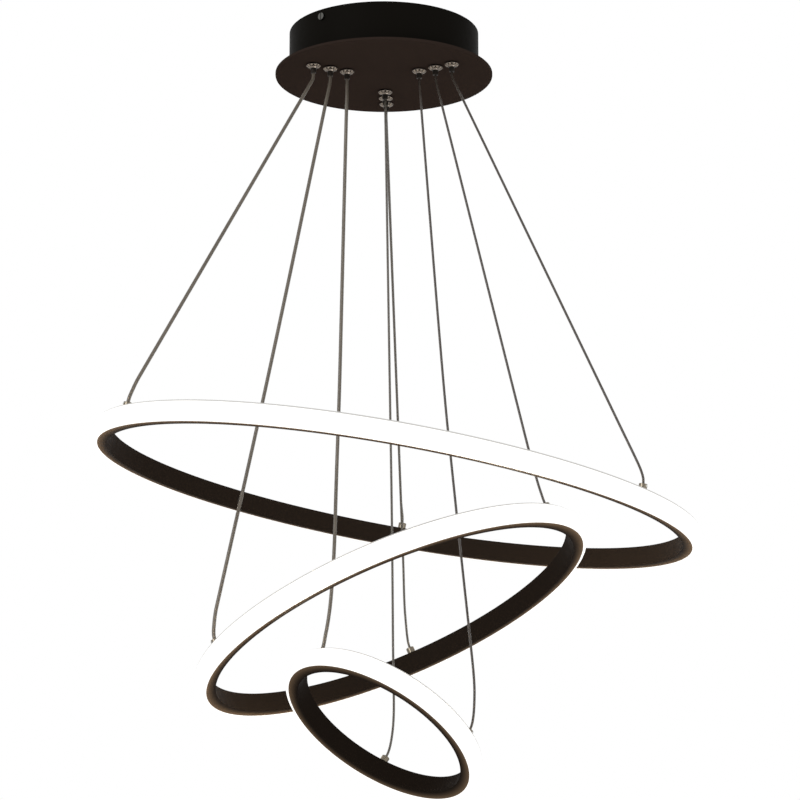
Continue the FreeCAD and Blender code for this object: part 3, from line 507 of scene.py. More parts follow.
def mix_colours(tree: Tree, share: Socket, first: object, second: object) -> Socket:
    """The first colour, and as much of the second as the share says."""
    links = {0: share, 6: first, 7: second}
    return add_node(tree, "ShaderNodeMix", links, data_type="RGBA").outputs[2]


def mottled(tree: Tree, grain: Shader, colour: Colour, swing: float) -> Socket:
    """A colour that changes slowly by a share to both sides."""
    darker, lighter = rgba(colour, 1.0 - swing), rgba(colour, 1.0 + swing)
    return mix_colours(tree, grain.outputs["Mottle"], darker, lighter)


def smudged(tree: Tree, grain: Shader, roughness: float, swing: float) -> Socket:
    """A roughness that changes in smears to both sides."""
    low, high = max(0.02, roughness - swing), min(1.0, roughness + swing)
    return remap(tree, grain.outputs["Smudge"], *TEXTURE.smudge_span, low, high)


def relief(tree: Tree, height: Socket, depth: float) -> Socket:
    """The normal of a bump of some depth."""
    return add_node(tree, "ShaderNodeBump", {"Height": height, "Distance": depth}).outputs[0]


@dataclass(frozen=True)
class Finish:
    """A plain finish: one colour with grain, uneven gloss and a little dust."""

    name: str
    colour: Colour
    roughness: float = 0.5
    metallic: float = 0.0
    specular: float = 0.5
    coat: float = 0.0
    coat_roughness: float = 0.1
    mottle: float = 0.08
    smudge: float = 0.08
    grain_scale: float = 900.0
    grain_depth: float = 0.00002
    dust: float = 0.25
    dust_colour: Colour = (0.42, 0.40, 0.37)
    # colour share in the painted shade of flutes and recesses; 1 paints none
    shade_share: float = 1.0

    def material(self, effects: Effects) -> Material:
        """Builds the material.

        Args:
            effects: The shared effects.

        Returns:
            The material.
        """
        material, tree = new_material(self.name)
        grain = effects.place_grain(tree, self.grain_scale)
        colour = mottled(tree, grain, self.colour, self.mottle)
        # painted shade: darker colour by the mesh value in flutes and recesses
        if self.shade_share < 1.0:
            flute_shade = add_node(tree, "ShaderNodeAttribute", {}, attribute_name=SHADE_ATTRIBUTE)
            shaded = rgba(self.colour, self.shade_share)
            colour = mix_colours(tree, flute_shade.outputs["Fac"], colour, shaded)
        dust = effects.place_dust(tree, self.dust)
        fill_shader(tree, {
            "Base Color": mix_colours(tree, dust, colour, rgba(self.dust_colour)),
            "Roughness": smudged(tree, grain, self.roughness, self.smudge),
            "Normal": relief(tree, grain.outputs["Height"], self.grain_depth),
            "Metallic": self.metallic,
            "Specular IOR Level": self.specular,
            "Coat Weight": self.coat,
            "Coat Roughness": self.coat_roughness,
        })
        return material


@dataclass(frozen=True)
class RingMetal:
    """Dark anodised aluminium of a ring's channel, with drawn lines round the ring, painted glow on
    its flange's outer lip and painted shade by the ring's share.
    """

    ring: LightRing
    colour: Colour = (0.0158, 0.0112, 0.0082)
    line_colour: Colour = (0.0212, 0.0150, 0.0112)
    line_depth: float = 0.000012
    # painted glow: the flange's outer lip drawn lighter and golden, for the rings' glow falling on
    # it
    glow_lip_colour: Colour = (0.230, 0.152, 0.092)
    glow_lip_slope: float = 1.7
    flange_level: float = 0.985
    flange_start: float = 0.0140
    flange_end: float = 0.0040
    roughness: float = 0.50
    smudge: float = 0.07
    smear_grain: float = 1400.0
    specular: float = 0.004
    dust: float = 0.10
    dust_colour: Colour = (0.30, 0.28, 0.25)

    def material(self, effects: Effects) -> Material:
        """Builds the material.

        Args:
            effects: The shared effects.

        Returns:
            The material.
        """
        material, tree = new_material(f"{self.ring.name} ring metal")
        lines = effects.place_lines(tree, self.ring)
        grain = effects.place_grain(tree, self.smear_grain)
        # painted shade: the ring's metal, line and lip colours all drawn darker by its share
        ring_shade = self.ring.painted_ring_shade
        dark, light = rgba(self.colour, ring_shade), rgba(self.line_colour, ring_shade)
        drawn = mix_colours(tree, lines.outputs["Lines"], dark, light)
        # painted glow on the flange's outer lip, growing towards its edge
        start = self.ring.radius - self.flange_start
        end = self.ring.radius - self.flange_end
        across = remap(tree, lines.outputs["Radius"], start, end)
        slope = math_node(tree, "POWER", across, self.glow_lip_slope)
        flange = math_node(tree, "GREATER_THAN", lines.outputs["Rim"], self.flange_level)
        lit = math_node(tree, "MULTIPLY", slope, flange)
        glow_painted_colour = mix_colours(tree, lit, drawn, rgba(self.glow_lip_colour, ring_shade))
        dust = effects.place_dust(tree, self.dust)
        fill_shader(tree, {
            "Base Color": mix_colours(tree, dust, glow_painted_colour, rgba(self.dust_colour)),
            "Roughness": smudged(tree, grain, self.roughness, self.smudge),
            "Normal": relief(tree, lines.outputs["Lines"], self.line_depth),
            "Specular IOR Level": self.specular,
        })
        return material


@dataclass(frozen=True)
class OpalGlow:
    """The lit opal cover of a ring: full white on its face, with painted shade along its upper
    corner.
    """

    ring: LightRing
    face: Colour = (0.80, 0.79, 0.77)
    # painted shade: the glow drops near black along the upper corner, for the darkening of its edge
    # seen at a grazing angle
    rim: Colour = (0.030, 0.029, 0.027)
    cast: Colour = (10.0, 8.8, 6.8)
    base: Colour = (0.60, 0.59, 0.57)
    mottle: float = 0.03
    rim_start: float = 0.80
    rim_end: float = 0.85
    roughness: float = 0.4
    grain_scale: float = 700.0
    grain_depth: float = 0.00001

    def material(self, effects: Effects) -> Material:
        """Builds the material.

        Args:
            effects: The shared effects.

        Returns:
            The material.
        """
        material, tree = new_material(f"{self.ring.name} opal glow")
        lines = effects.place_lines(tree, self.ring)
        grain = effects.place_grain(tree, self.grain_scale)
        # painted shade along the upper corner
        rim = remap(tree, lines.outputs["Level"], self.rim_start, self.rim_end)
        look = mix_colours(tree, rim, rgba(self.face), rgba(self.rim))
        seen = tree.nodes.new("ShaderNodeLightPath").outputs["Is Camera Ray"]
        fill_shader(tree, {
            "Emission Color": mix_colours(tree, seen, rgba(self.cast), look),
            "Emission Strength": 1.0,
            "Base Color": mottled(tree, grain, self.base, self.mottle),
            "Roughness": self.roughness,
            "Normal": relief(tree, grain.outputs["Height"], self.grain_depth),
        })
        return material


@dataclass(frozen=True)
class ClearSheath:
    """Thin clear plastic over the strands of a wire."""

    name: str
    colour: Colour
    alpha: float
    mottle: float = 0.1
    roughness: float = 0.22
    grain_scale: float = 2200.0
    grain_depth: float = 0.00001

    def material(self, effects: Effects) -> Material:
        """Builds the material.

        Args:
            effects: The shared effects.

        Returns:
            The material.
        """
        material, tree = new_material(self.name)
        grain = effects.place_grain(tree, self.grain_scale)
        fill_shader(tree, {
            "Base Color": mottled(tree, grain, self.colour, self.mottle),
            "Roughness": self.roughness,
            "Alpha": self.alpha,
            "Normal": relief(tree, grain.outputs["Height"], self.grain_depth),
        })
        return material


class Palette:
    """Every finish of the lamp, built once: name, colour, roughness, metallic and what differs."""

    PLATE_PAINT = Finish(
        "dark brown paint", (0.0290, 0.0200, 0.0162), 0.60, specular=0.0,
        mottle=0.04, smudge=0.04, grain_scale=1500.0, grain_depth=0.00003, dust=0.12,
    )
    # painted shade: the plate's paint drawn darker on the canopy's wall, which gets less light from
    # the rings below
    DRUM_SHADED_PAINT = replace(
        PLATE_PAINT, name="dark brown paint on the wall", colour=(0.0062, 0.0054, 0.0043),
        roughness=0.46, specular=0.008, mottle=0.05,
    )
    ZINC = Finish("zinc-plated steel", (0.58, 0.58, 0.56), 0.34, 1.0, mottle=0.16, smudge=0.10)
    CHROME = Finish(
        "polished chrome", (0.55, 0.54, 0.53), 0.10, 1.0,
        mottle=0.05, smudge=0.04, grain_depth=0.000003, dust=0.06,
    )
    # painted shade: the flutes and recesses of the grip bodies drawn near black, for their shade
    # and dark reflections
    FLANGE = replace(
        CHROME, name="smoked chrome", colour=(0.28, 0.238, 0.20),
        roughness=0.12, mottle=0.10, smudge=0.05, dust=0.0, shade_share=0.04,
    )
    FITTING = replace(
        CHROME, name="smoked nickel", colour=(0.18, 0.155, 0.12),
        roughness=0.20, mottle=0.12, smudge=0.06, grain_depth=0.000004, dust=0.05,
    )
    SIDE_SCREW = Finish(
        "black nickel screw", (0.11, 0.108, 0.10), 0.26, 1.0, mottle=0.15, dust=0.05
    )
    NOSE = Finish(
        "dark plated brass", (0.030, 0.025, 0.021), 0.34, 0.5, specular=0.15,
        mottle=0.10, grain_depth=0.000008, dust=0.0,
    )
    DRIVER = Finish(
        "white moulded case", (0.72, 0.72, 0.69), 0.48, mottle=0.03, grain_depth=0.00004, dust=0.35
    )
    BOARD = Finish("circuit board", (0.03, 0.16, 0.06), 0.35, mottle=0.18)
    TERMINAL = Finish(
        "terminal plastic", (0.66, 0.67, 0.62), 0.28, coat=0.15, mottle=0.05, grain_depth=0.00001
    )
    LEAD = Finish("black lead sheath", (0.018, 0.018, 0.018), 0.36, grain_depth=0.00001, dust=0.3)
    STRIP = Finish("white strip", (0.80, 0.76, 0.62), 0.45, mottle=0.10, dust=0.0)
    SPRING = Finish("spring steel", (0.42, 0.41, 0.40), 0.28, 1.0, dust=0.05)
    FOAM = Finish("foam tape", (0.55, 0.55, 0.51), 0.9, mottle=0.12, grain_depth=0.0002)
    STRAND = Finish(
        "steel strands", (0.180, 0.158, 0.132), 0.38, 0.55,
        mottle=0.20, smudge=0.06, grain_scale=2600.0, grain_depth=0.00001, dust=0.0,
    )
    CORE = replace(
        STRAND, name="tinned cores", colour=(0.255, 0.222, 0.180),
        roughness=0.36, metallic=0.5, mottle=0.22,
    )
    SUPPLY_SHEATH = ClearSheath("clear cable sheath", (0.125, 0.105, 0.082), 0.50)
    PALE_SHEATH = ClearSheath("clear wire sheath, paler", (0.125, 0.112, 0.094), 0.60)
    STEEL_SHEATH = ClearSheath("clear wire sheath", (0.060, 0.048, 0.039), 0.72)

    def __init__(self) -> None:
        """Builds the shared effects."""
        self.effects = Effects()
        self.made: dict[str, Material] = {}

    def get(self, finish: Finish | RingMetal | OpalGlow | ClearSheath) -> Material:
        """The material of a finish, built at its first use.

        Args:
            finish: The finish.

        Returns:
            Its material.
        """
        key = repr(finish)
        if key not in self.made:
            self.made[key] = finish.material(self.effects)
        return self.made[key]


def dress(node: str, material: Material) -> None:
    """Gives a node of the frame one material.

    Args:
        node: The node's name.
        material: Its material.
    """
    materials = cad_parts[node].data.materials
    materials.clear()
    materials.append(material)


# ---- mesh helpers

ROUTE_STEPS = 32  # points of a route's spline between two control points


def smooth_line(route: Sequence[Vector]) -> list[Vector]:
    """Reads points from the smooth spline that has the route's points as its control points.

    Args:
        route: The route's points.

    Returns:
        Points along the spline, from end to end.
    """
    curve = bpy.data.curves.new("route", "CURVE")
    curve.dimensions = "3D"
    spline = curve.splines.new("NURBS")
    spline.points.add(len(route) - 1)
    for control, point in zip(spline.points, route):
        control.co = (*point, 1.0)
    spline.order_u = 3
    spline.use_endpoint_u = True
    spline.resolution_u = ROUTE_STEPS
    holder = bpy.data.objects.new("route", curve)
    mesh = bpy.data.meshes.new_from_object(holder)
    points = [vertex.co.copy() for vertex in mesh.vertices]
    bpy.data.meshes.remove(mesh)
    bpy.data.objects.remove(holder)
    bpy.data.curves.remove(curve)
    return points


def evenly(points: Sequence[Vector], step: float) -> list[Vector]:
    """Reads a line of points again at even steps.

    Args:
        points: Points along a line.
        step: About how far apart the new ones are.

    Returns:
        The new points, with both ends kept.
    """
    reach = [0.0]
    for first, second in zip(points, points[1:]):
        reach.append(reach[-1] + (second - first).length)
    count = max(2, round(reach[-1] / step))
    found = []
    index = 0
    for number in range(count + 1):
        want = reach[-1] * number / count
        while index < len(points) - 2 and reach[index + 1] < want:
            index += 1
        span = max(reach[index + 1] - reach[index], 1e-9)
        found.append(points[index].lerp(points[index + 1], min(1.0, (want - reach[index]) / span)))
    return found


def sweep(
    mesh: Mesh,
    points: Sequence[Vector],
    radius: float | Callable[[float, float], float],
    sides: int,
    slot: int = 0,
) -> None:
    """Adds a tube along points, closed at both ends.

    Args:
        mesh: The mesh that gets the tube.
        points: Its centre line.
        radius: The radius, or its value for an angle round the tube and a distance along it.
        sides: Corners of its section.
        slot: Material slot of its faces.
    """
    ways = [(after - before).normalized() for before, after in zip(points, points[1:])]
    ways.append(ways[-1])
    across = ways[0].orthogonal().normalized()
    rings = []
    distance = 0.0
    for index, point in enumerate(points):
        way = ways[index]
        if 0 < index < len(points) - 1:
            way = (ways[index - 1] + ways[index]).normalized()
        across = (across - way * across.dot(way)).normalized()
        other = way.cross(across)
        if index:
            distance += (point - points[index - 1]).length
        ring = []
        for corner in range(sides):
            angle = FULL_TURN * corner / sides
            out = across * math.cos(angle) + other * math.sin(angle)
            reach = radius(angle, distance) if callable(radius) else radius
            ring.append(mesh.verts.new(point + out * reach))
        rings.append(ring)
    faces = []
    for low, high in zip(rings, rings[1:]):
        for here in range(sides):
            there = (here + 1) % sides
            faces.append(mesh.faces.new((low[here], low[there], high[there], high[here])))
    faces.append(mesh.faces.new(list(reversed(rings[0]))))
    faces.append(mesh.faces.new(rings[-1]))
    for face in faces:
        face.material_index = slot
        face.smooth = len(face.verts) == 4


def add_object(name: str, data: bpy.types.ID) -> Thing:
    """Puts a mesh, a lamp or a camera into the scene.

    Args:
        name: The object's name.
        data: What it shows.

    Returns:
        The object.
    """
    thing = bpy.data.objects.new(name, data)
    bpy.context.scene.collection.objects.link(thing)
    return thing


def new_piece(name: str, mesh: Mesh, *materials: Material) -> Thing:
    """Turns a mesh into an object of the scene.

    Args:
        name: The object's name.
        mesh: Its mesh, which is freed.
        *materials: Its materials, slot by slot.

    Returns:
        The object.
    """
    data = bpy.data.meshes.new(name)
    mesh.to_mesh(data)
    mesh.free()
    for material in materials:
        data.materials.append(material)
    return add_object(name, data)


# ---- wires


@dataclass(frozen=True)
class Cable:
    """One kind of wire: strands that turn inside a clear sheath."""

    radius: float
    lobes: int
    pitch: float
    strand_share: float
    lobe_depth: float
    finish: Finish
    cover: ClearSheath
    strand_sides: int = 18
    strand_steps: int = 9  # in one pitch
    sheath_sides: int = 16
    sheath_step: float = 0.004

    def build(
        self, name: str, line: Sequence[Vector], palette: Palette
    ) -> tuple[Thing, list[Vector]]:
        """Builds the wire's mesh.

        Args:
            name: The object's name.
            line: Points of its centre line.
            palette: The finishes.

        Returns:
            The object and the points that it follows.
        """
        path = evenly(line, self.sheath_step)
        turn = FULL_TURN / self.pitch
        mean = self.radius * self.strand_share

        def strand(angle: float, distance: float) -> float:
            """Radius of the bundle of strands, which turns along the wire."""
            return mean * (1.0 + self.lobe_depth * math.cos(self.lobes * (angle - turn * distance)))

        mesh = bmesh.new()
        sweep(mesh, evenly(line, self.pitch / self.strand_steps), strand, self.strand_sides)
        sweep(mesh, path, self.radius, self.sheath_sides, 1)
        return new_piece(name, mesh, palette.get(self.finish), palette.get(self.cover)), path


SUPPLY = Cable(
    radius=0.00185, lobes=3, pitch=0.0052, strand_share=0.80, lobe_depth=0.12,
    finish=Palette.CORE, cover=Palette.SUPPLY_SHEATH,
)
STEEL = Cable(
    radius=0.00125, lobes=3, pitch=0.0075, strand_share=0.66, lobe_depth=0.05,
    finish=Palette.STRAND, cover=Palette.STEEL_SHEATH,
)
PALE_STEEL = replace(STEEL, cover=Palette.PALE_SHEATH)


@dataclass(frozen=True)
class SuspensionWire:
    """One wire from a release nose to its fitting on a ring, and its points between them."""

    ring: LightRing
    side: Side
    length: float
    between: tuple[Point, ...]
    fitting_lead: float = 0.0065

    @property
    def nose_lead(self) -> float:
        """Wire under the nose, before it turns."""
        return 0.0055 if self.side is Side.LEFT else 0.0045

    @property
    def cable(self) -> Cable:
        """The kind of wire."""
        return {Side.LEFT: SUPPLY, Side.RIGHT: STEEL, Side.BACK: PALE_STEEL}[self.side]

    def route(self) -> list[Vector]:
        """The route's points.

        Returns:
            Points from the nose's mouth to the bottom of the fitting's bore.
        """
        mouth = self.ring.grip(self.side) - UP * GRIP.nose_drop
        upper = mouth - UP * self.nose_lead
        end = self.ring.wire_end(self.side)
        lower = end + self.ring.axis * self.fitting_lead
        return [mouth, upper, *(Vector(point) for point in self.between), lower, end]

    def build(self, palette: Palette) -> None:
        """Args:
            palette: The finishes.
        """
        route = self.route()
        node = f"{self.ring.name}_wire_{self.side.word}"
        thing, path = self.cable.build(f"{node}_strands", smooth_line(route), palette)
        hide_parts(node)
        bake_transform(thing)
        LOG.info("%s: %d route points", node, len(route))


WIRES = (
    SuspensionWire(LARGE, Side.LEFT, 0.4164, (
        (-0.0730, -0.0388, -0.0654), (-0.2306, -0.1224, -0.3869),
        (-0.2355, -0.1250, -0.3970), (-0.2395, -0.1275, -0.4075),
    )),
    SuspensionWire(LARGE, Side.RIGHT, 0.5072, (
        (0.0694, -0.0436, -0.0636), (0.2096, -0.1499, -0.4168),
        (0.2235, -0.1605, -0.4520), (0.2375, -0.1715, -0.4870),
        (0.2405, -0.1745, -0.4965),
    )),
    SuspensionWire(LARGE, Side.BACK, 0.4476, (
        (0.0030, 0.0821, -0.0636), (0.0188, 0.2710, -0.4141),
        (0.0195, 0.2790, -0.4290),
    )),
    SuspensionWire(MEDIUM, Side.LEFT, 0.5988, (
        (-0.0549, -0.0291, -0.0660), (-0.1120, -0.0570, -0.3745),
        (-0.1574, -0.0785, -0.6007), (-0.1595, -0.0795, -0.6110),
        (-0.1605, -0.0805, -0.6215),
    )),
    SuspensionWire(MEDIUM, Side.RIGHT, 0.4708, (
        (0.0527, -0.0329, -0.0640), (0.1321, -0.0774, -0.4199),
        (0.1395, -0.0815, -0.4530), (0.1475, -0.0855, -0.4860),
        (0.1510, -0.0870, -0.4975),
    )),
    SuspensionWire(MEDIUM, Side.BACK, 0.5633, (
        (0.0023, 0.0620, -0.0640), (0.0193, 0.1636, -0.4750),
        (0.0210, 0.1735, -0.5150), (0.0220, 0.1835, -0.5550),
        (0.0240, 0.1885, -0.5770), (0.0250, 0.1910, -0.5870),
    )),
    SuspensionWire(SMALL, Side.LEFT, 0.5900, (
        (-0.0372, -0.0198, -0.0661), (-0.0419, -0.0245, -0.3095),
        (-0.0435, -0.0260, -0.3900), (-0.0460, -0.0275, -0.4705),
        (-0.0475, -0.0285, -0.5425), (-0.0505, -0.0295, -0.5900),
        (-0.0535, -0.0300, -0.6135), (-0.0560, -0.0305, -0.6260),
    )),
    SuspensionWire(SMALL, Side.RIGHT, 0.6699, (
        (0.0359, -0.0224, -0.0641), (0.0585, -0.0320, -0.3760),
        (0.0674, -0.0352, -0.4685), (0.0755, -0.0380, -0.5520),
        (0.0840, -0.0405, -0.6355), (0.0875, -0.0420, -0.6735),
        (0.0870, -0.0425, -0.6950), (0.0860, -0.0430, -0.7065),
    )),
    SuspensionWire(SMALL, Side.BACK, 0.6766, (
        (0.0015, 0.0423, -0.0641), (0.0069, 0.0673, -0.3780),
        (0.0085, 0.0745, -0.4685), (0.0095, 0.0815, -0.5590),
        (0.0100, 0.0870, -0.6235), (0.0110, 0.0910, -0.6705),
        (0.0105, 0.0925, -0.6920), (0.0085, 0.0940, -0.7080),
        (0.0065, 0.0945, -0.7170),
    )),
)


# ---- canopy


@dataclass(frozen=True)
class DriverLead:
    """One lead inside the canopy, from the terminal block to a driver."""

    name: str
    length: float
    start: Point
    way: Point
    turn: float
    driver_face: float = 0.046
    radius: float = 0.0015
    sides: int = 20
    step: float = 0.0006

    def route(self) -> list[Vector]:
        """The route's points.

        Returns:
            Four points, from the block to the driver's inner face.
        """
        start = Vector(self.start)
        radial = around(1.0, math.radians(self.turn))
        end = radial * self.driver_face + UP * start.z
        step = (end - start).length / 3.0
        return [start, start + Vector(self.way) * step, end - radial * step, end]


LEADS = (
    DriverLead("large", 0.0328, (0.016, 0.004, -0.0365), (1.0, 0.0, 0.0), 28.0),
    DriverLead("medium", 0.0342, (-0.016, 0.004, -0.0365), (-1.0, 0.0, 0.0), 148.0),
    DriverLead("small", 0.0370, (0.0, -0.009, -0.0365), (0.0, -1.0, 0.0), 268.0),
)


@dataclass
class Canopy:
    """The canopy's own parts, its spare wire and its leads."""

    palette: Palette
    tail_rise: float = 0.0315
    tail_run: float = 0.041
    tail_beside: float = 0.0368
    tail_length: float = 0.0742

    def dress_frame(self) -> None:
        """Gives the canopy's nodes their finishes."""
        look = self.palette
        finishes = {
            look.DRUM_SHADED_PAINT: ("canopy_drum",),
            look.PLATE_PAINT: ("canopy_plate",),
            look.SIDE_SCREW: ("side_screws",),
            look.ZINC: (
                "ceiling_bracket", "plate_screws", "earth_screw", "terminal_screws", "tail_stops",
            ),
            look.CHROME: ("grip_nuts",),
            look.DRIVER: ("large_driver", "medium_driver", "small_driver"),
            look.BOARD: ("driver_boards",),
            look.FOAM: ("driver_pads",),
            look.TERMINAL: ("terminal_block",),
        }
        for finish, nodes in finishes.items():
            for node in nodes:
                dress(node, look.get(finish))
        for ring, side in each_grip():
            dress(f"release_nose_{ring.name}_{side.word}", look.get(look.NOSE))

    def build_barrels(self) -> None:
        """Grip bodies with a fluted flange under the plate, in place of the plain ones."""
        mesh = bmesh.new()
        flute_shade = mesh.verts.layers.float.new(SHADE_ATTRIBUTE)
        for ring, side in each_grip():
            bore = (SUPPLY if side is Side.LEFT else STEEL).radius + GRIP.wire_play
            self.add_barrel(mesh, flute_shade, ring.grip(side), self.barrel_profile(bore))
        thing = new_piece("grip_flanges", mesh, self.palette.get(self.palette.FLANGE))
        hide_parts("grip_barrels")
        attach(thing, "canopy")

    @staticmethod
    def barrel_profile(bore: float) -> list[Corner]:
        """Section of a grip body.

        Args:
            bore: Radius of the wire's bore in its top.

        Returns:
            The corners, round the section.
        """
        disc, neck, stem = GRIP.disc_radius, GRIP.neck_radius, GRIP.stem_radius
        top = -GRIP.shoulder_height
        low = top - GRIP.disc_height
        # each corner's third value is its share of the flutes, or marks a recess in full painted
        # shade
        profile = [
            (GRIP.guide_radius, -GRIP.neck_drop, FULL_SHADE),
            (neck - GRIP.neck_edge, -GRIP.neck_drop, FULL_SHADE),
            (neck, -GRIP.neck_drop + GRIP.neck_edge, 0.0),
            (neck, low - 0.5 * GRIP.neck_fillet, 0.0),
            (neck + GRIP.neck_fillet, low, 0.2),
            *((disc - inset, low + rise, share) for inset, rise, share in GRIP.disc_curve),
            (disc, top, 0.3),
            (GRIP.shoulder_radius, top, FULL_SHADE),
            (GRIP.shoulder_radius, 0.0, FULL_SHADE),
            (stem, 0.0, FULL_SHADE),
        ]
        pitch = GRIP.thread_pitch
        flank = GRIP.thread_flank * pitch
        for turn in range(int(GRIP.stem_height / pitch - 2.0)):
            root = pitch * (turn + 1.5)
            profile.append((stem, root - flank, 0.0))
            profile.append((stem - GRIP.thread_depth, root, 0.0))
            profile.append((stem, root + flank, 0.0))
        return profile + [
            (stem, GRIP.stem_height - GRIP.stem_edge, 0.0),
            (stem - GRIP.stem_edge, GRIP.stem_height, 0.0),
            (bore, GRIP.stem_height, 0.0),
            (bore, GRIP.chamber_top, 0.0),
            (GRIP.chamber_radius, GRIP.chamber_top, 0.0),
            (GRIP.chamber_radius, -GRIP.chamber_floor, 0.0),
            (GRIP.guide_radius, -GRIP.chamber_floor, 0.0),
        ]

    @staticmethod
    def add_barrel(
        mesh: Mesh, flute_shade: bmesh.types.BMLayerItem, middle: Vector, profile: Sequence[Corner]
    ) -> None:
        """Adds one turned body.

        Args:
            mesh: The mesh that gets it.
            flute_shade: The mesh value of painted shade, full in recesses and growing with a
                point's depth in a flute.
            middle: Its place on the plate's lower face.
            profile: The corners, round its section.
        """
        sides = GRIP.flutes * GRIP.flute_sides
        columns = []
        for corner in range(sides):
            angle = FULL_TURN * corner / sides
            wave = (1.0 - abs(math.cos(0.5 * GRIP.flutes * angle))) ** GRIP.flute_power
            column = []
            for radius, height, share in profile:
                depth = 0.0 if share == FULL_SHADE else wave * share
                reach = radius - depth * GRIP.flute_inset
                level = height + depth * GRIP.flute_depth
                vertex = mesh.verts.new(middle + around(reach, angle, level))
                # painted shade: full in recesses, growing with depth in the flutes
                vertex[flute_shade] = 1.0 if share == FULL_SHADE else min(1.0, GRIP.flute_shade_reach * depth)
                column.append(vertex)
            columns.append(column)
        count = len(profile)
        for here, there in zip(columns, columns[1:] + columns[:1]):
            for step in range(count):
                after = (step + 1) % count
                face = mesh.faces.new((here[step], there[step], there[after], here[after]))
                face.smooth = True

    def build_springs(self) -> None:
        """Coil springs in place of the plain ones."""
        steel = self.palette.get(self.palette.SPRING)
        for ring, side in each_grip():
            grip = ring.grip(side)
            mesh = bmesh.new()
            sweep(mesh, SPRING.line(grip), SPRING.wire_radius, SPRING.sides)
            thing = new_piece(f"spring_{ring.name}_{side.word}", mesh, steel)
            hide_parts("grip_springs")
            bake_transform(thing)

    def build_tails(self) -> None:
        """Spare wire above each grip, in place of the plain tubes."""
        for ring, side in each_grip():
            grip = ring.grip(side)
            along = Vector((-grip.y, grip.x, 0.0)).normalized()
            corner = grip + UP * self.tail_rise
            route = [
                grip - UP * GRIP.nose_drop,
                corner - UP * self.tail_beside,
                corner,
                corner + along * self.tail_beside,
                corner + along * self.tail_run,
            ]
            cable = SUPPLY if side is Side.LEFT else STEEL
            name = f"tail_{ring.name}_{side.word}"
            thing, path = cable.build(name, smooth_line(route), self.palette)
            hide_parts("wire_tails")
            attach(thing, "canopy")

    def build_leads(self) -> None:
        """Leads from the terminal block to the drivers, in place of the plain tubes."""
        for lead in LEADS:
            route = lead.route()
            line = evenly(smooth_line(route), lead.step)
            mesh = bmesh.new()
            sweep(mesh, line, lead.radius, lead.sides)
            thing = new_piece(f"lead_{lead.name}", mesh, self.palette.get(self.palette.LEAD))
            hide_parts("driver_leads")
            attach(thing, "canopy")

    def build(self) -> None:
        """Builds and dresses the canopy."""
        self.dress_frame()
        self.build_barrels()
        self.build_springs()
        self.build_tails()
        self.build_leads()
        LOG.info("canopy dressed")


# ---- rings


@dataclass
class RingLook:
    """Finishes of one ring."""

    ring: LightRing
    palette: Palette

    def build(self) -> None:
        """Dresses the ring's nodes."""
        look = self.palette
        name = self.ring.name
        finishes = {
            "channel": RingMetal(self.ring),
            "diffuser": OpalGlow(self.ring),
            "strip": look.STRIP,
            "splice": look.ZINC,
            "studs": look.FITTING,
            "stud_nuts": look.ZINC,
            "set_screws": look.ZINC,
        }
        for part, finish in finishes.items():
            dress(f"{name}_{part}", look.get(finish))
        LOG.info("%s ring dressed", name)


# ---- stage


def facing(way: Vector) -> Euler:
    """The turn of a lamp or a camera that looks along a way."""
    return way.to_track_quat("-Z", "Y").to_euler()


@dataclass(frozen=True)
class Lamp:
    """One soft square lamp: its place in metres and its power in watts."""

    name: str
    place: Point
    power: float
    size: float = 1.8
    aim: Point = (0.0, 0.0, -0.4)

    def build(self) -> None:
        """Hangs the lamp."""
        data = bpy.data.lights.new(self.name, "AREA")
        data.shape = "SQUARE"
        data.size = self.size
        data.energy = self.power
        lamp = add_object(self.name, data)
        lamp.location = self.place
        lamp.rotation_euler = facing(Vector(self.aim) - Vector(self.place))


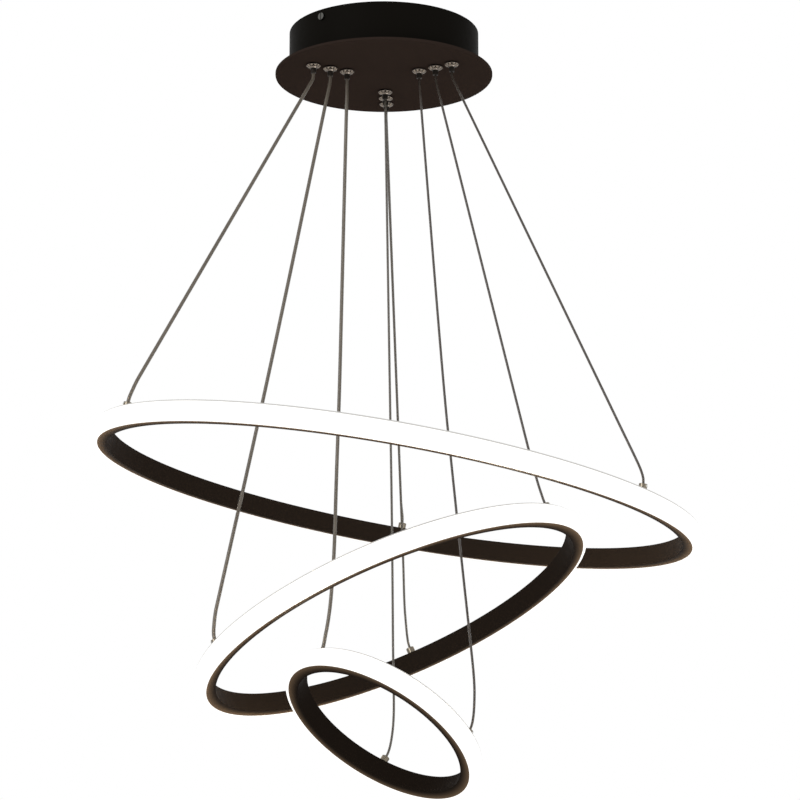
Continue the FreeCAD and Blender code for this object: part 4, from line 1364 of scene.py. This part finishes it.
@dataclass
class Stage:
    """Floor, light and camera."""

    floor_drop: float = 2.5
    floor_size: float = 24.0
    floor_colour: Colour = (0.90, 0.90, 0.90)
    world_light: float = 0.62
    lamps: tuple[Lamp, ...] = (
        Lamp("key", (-2.2, -2.6, 0.6), 42.0),
        Lamp("fill", (2.6, -1.6, -1.4), 22.0),
    )
    camera_place: Point = (-0.00527, -3.2, -1.18428)
    camera_way: Point = (0.00655, 0.97005, 0.24281)
    lens: float = 149.99
    sensor_width: float = 36.0
    view_end: float = 60.0

    def build_world(self) -> None:
        """A white background over a plain even light."""
        world = bpy.data.worlds.new("studio")
        bpy.context.scene.world = world
        world.use_nodes = True
        tree = world.node_tree
        tree.nodes.clear()
        path = tree.nodes.new("ShaderNodeLightPath")
        seen = math_node(tree, "ADD", path.outputs["Is Camera Ray"], path.outputs["Is Glossy Ray"])
        seen = math_node(tree, "ADD", seen, path.outputs["Is Transmission Ray"], clamp=True)
        level = remap(tree, seen, 0.0, 1.0, self.world_light, 1.0)
        links = {"Color": (1.0, 1.0, 1.0, 1.0), "Strength": level}
        light = add_node(tree, "ShaderNodeBackground", links)
        add_node(tree, "ShaderNodeOutputWorld", {"Surface": light.outputs[0]})

    def build_floor(self) -> None:
        """A plain pale floor at room height below the ceiling."""
        mesh = bmesh.new()
        half = self.floor_size / 2.0
        corners = ((-half, -half), (half, -half), (half, half), (-half, half))
        mesh.faces.new([mesh.verts.new((x, y, -self.floor_drop)) for x, y in corners])
        material, tree = new_material("pale floor")
        look = {"Base Color": rgba(self.floor_colour), "Roughness": 0.9, "Specular IOR Level": 0.1}
        fill_shader(tree, look)
        new_piece("floor", mesh, material)

    def build_camera(self) -> None:
        """The photograph's camera."""
        data = bpy.data.cameras.new("camera")
        data.lens = self.lens
        data.sensor_width = self.sensor_width
        data.clip_end = self.view_end
        camera = add_object("camera", data)
        camera.location = self.camera_place
        camera.rotation_euler = facing(Vector(self.camera_way))
        bpy.context.scene.camera = camera

    def build(self) -> None:
        """Builds the stage."""
        self.build_world()
        self.build_floor()
        for lamp in self.lamps:
            lamp.build()
        self.build_camera()
        bpy.context.scene.view_settings.view_transform = "Standard"
        LOG.info("stage built")


def main() -> None:
    """Builds the stage, the wires, the canopy and the rings."""
    logging.basicConfig(level=logging.INFO, format="%(name)s: %(message)s")
    palette = Palette()
    Stage().build()
    for wire in WIRES:
        wire.build(palette)
    Canopy(palette).build()
    for ring in RINGS:
        RingLook(ring, palette).build()


if __name__ == "__main__":
    main()
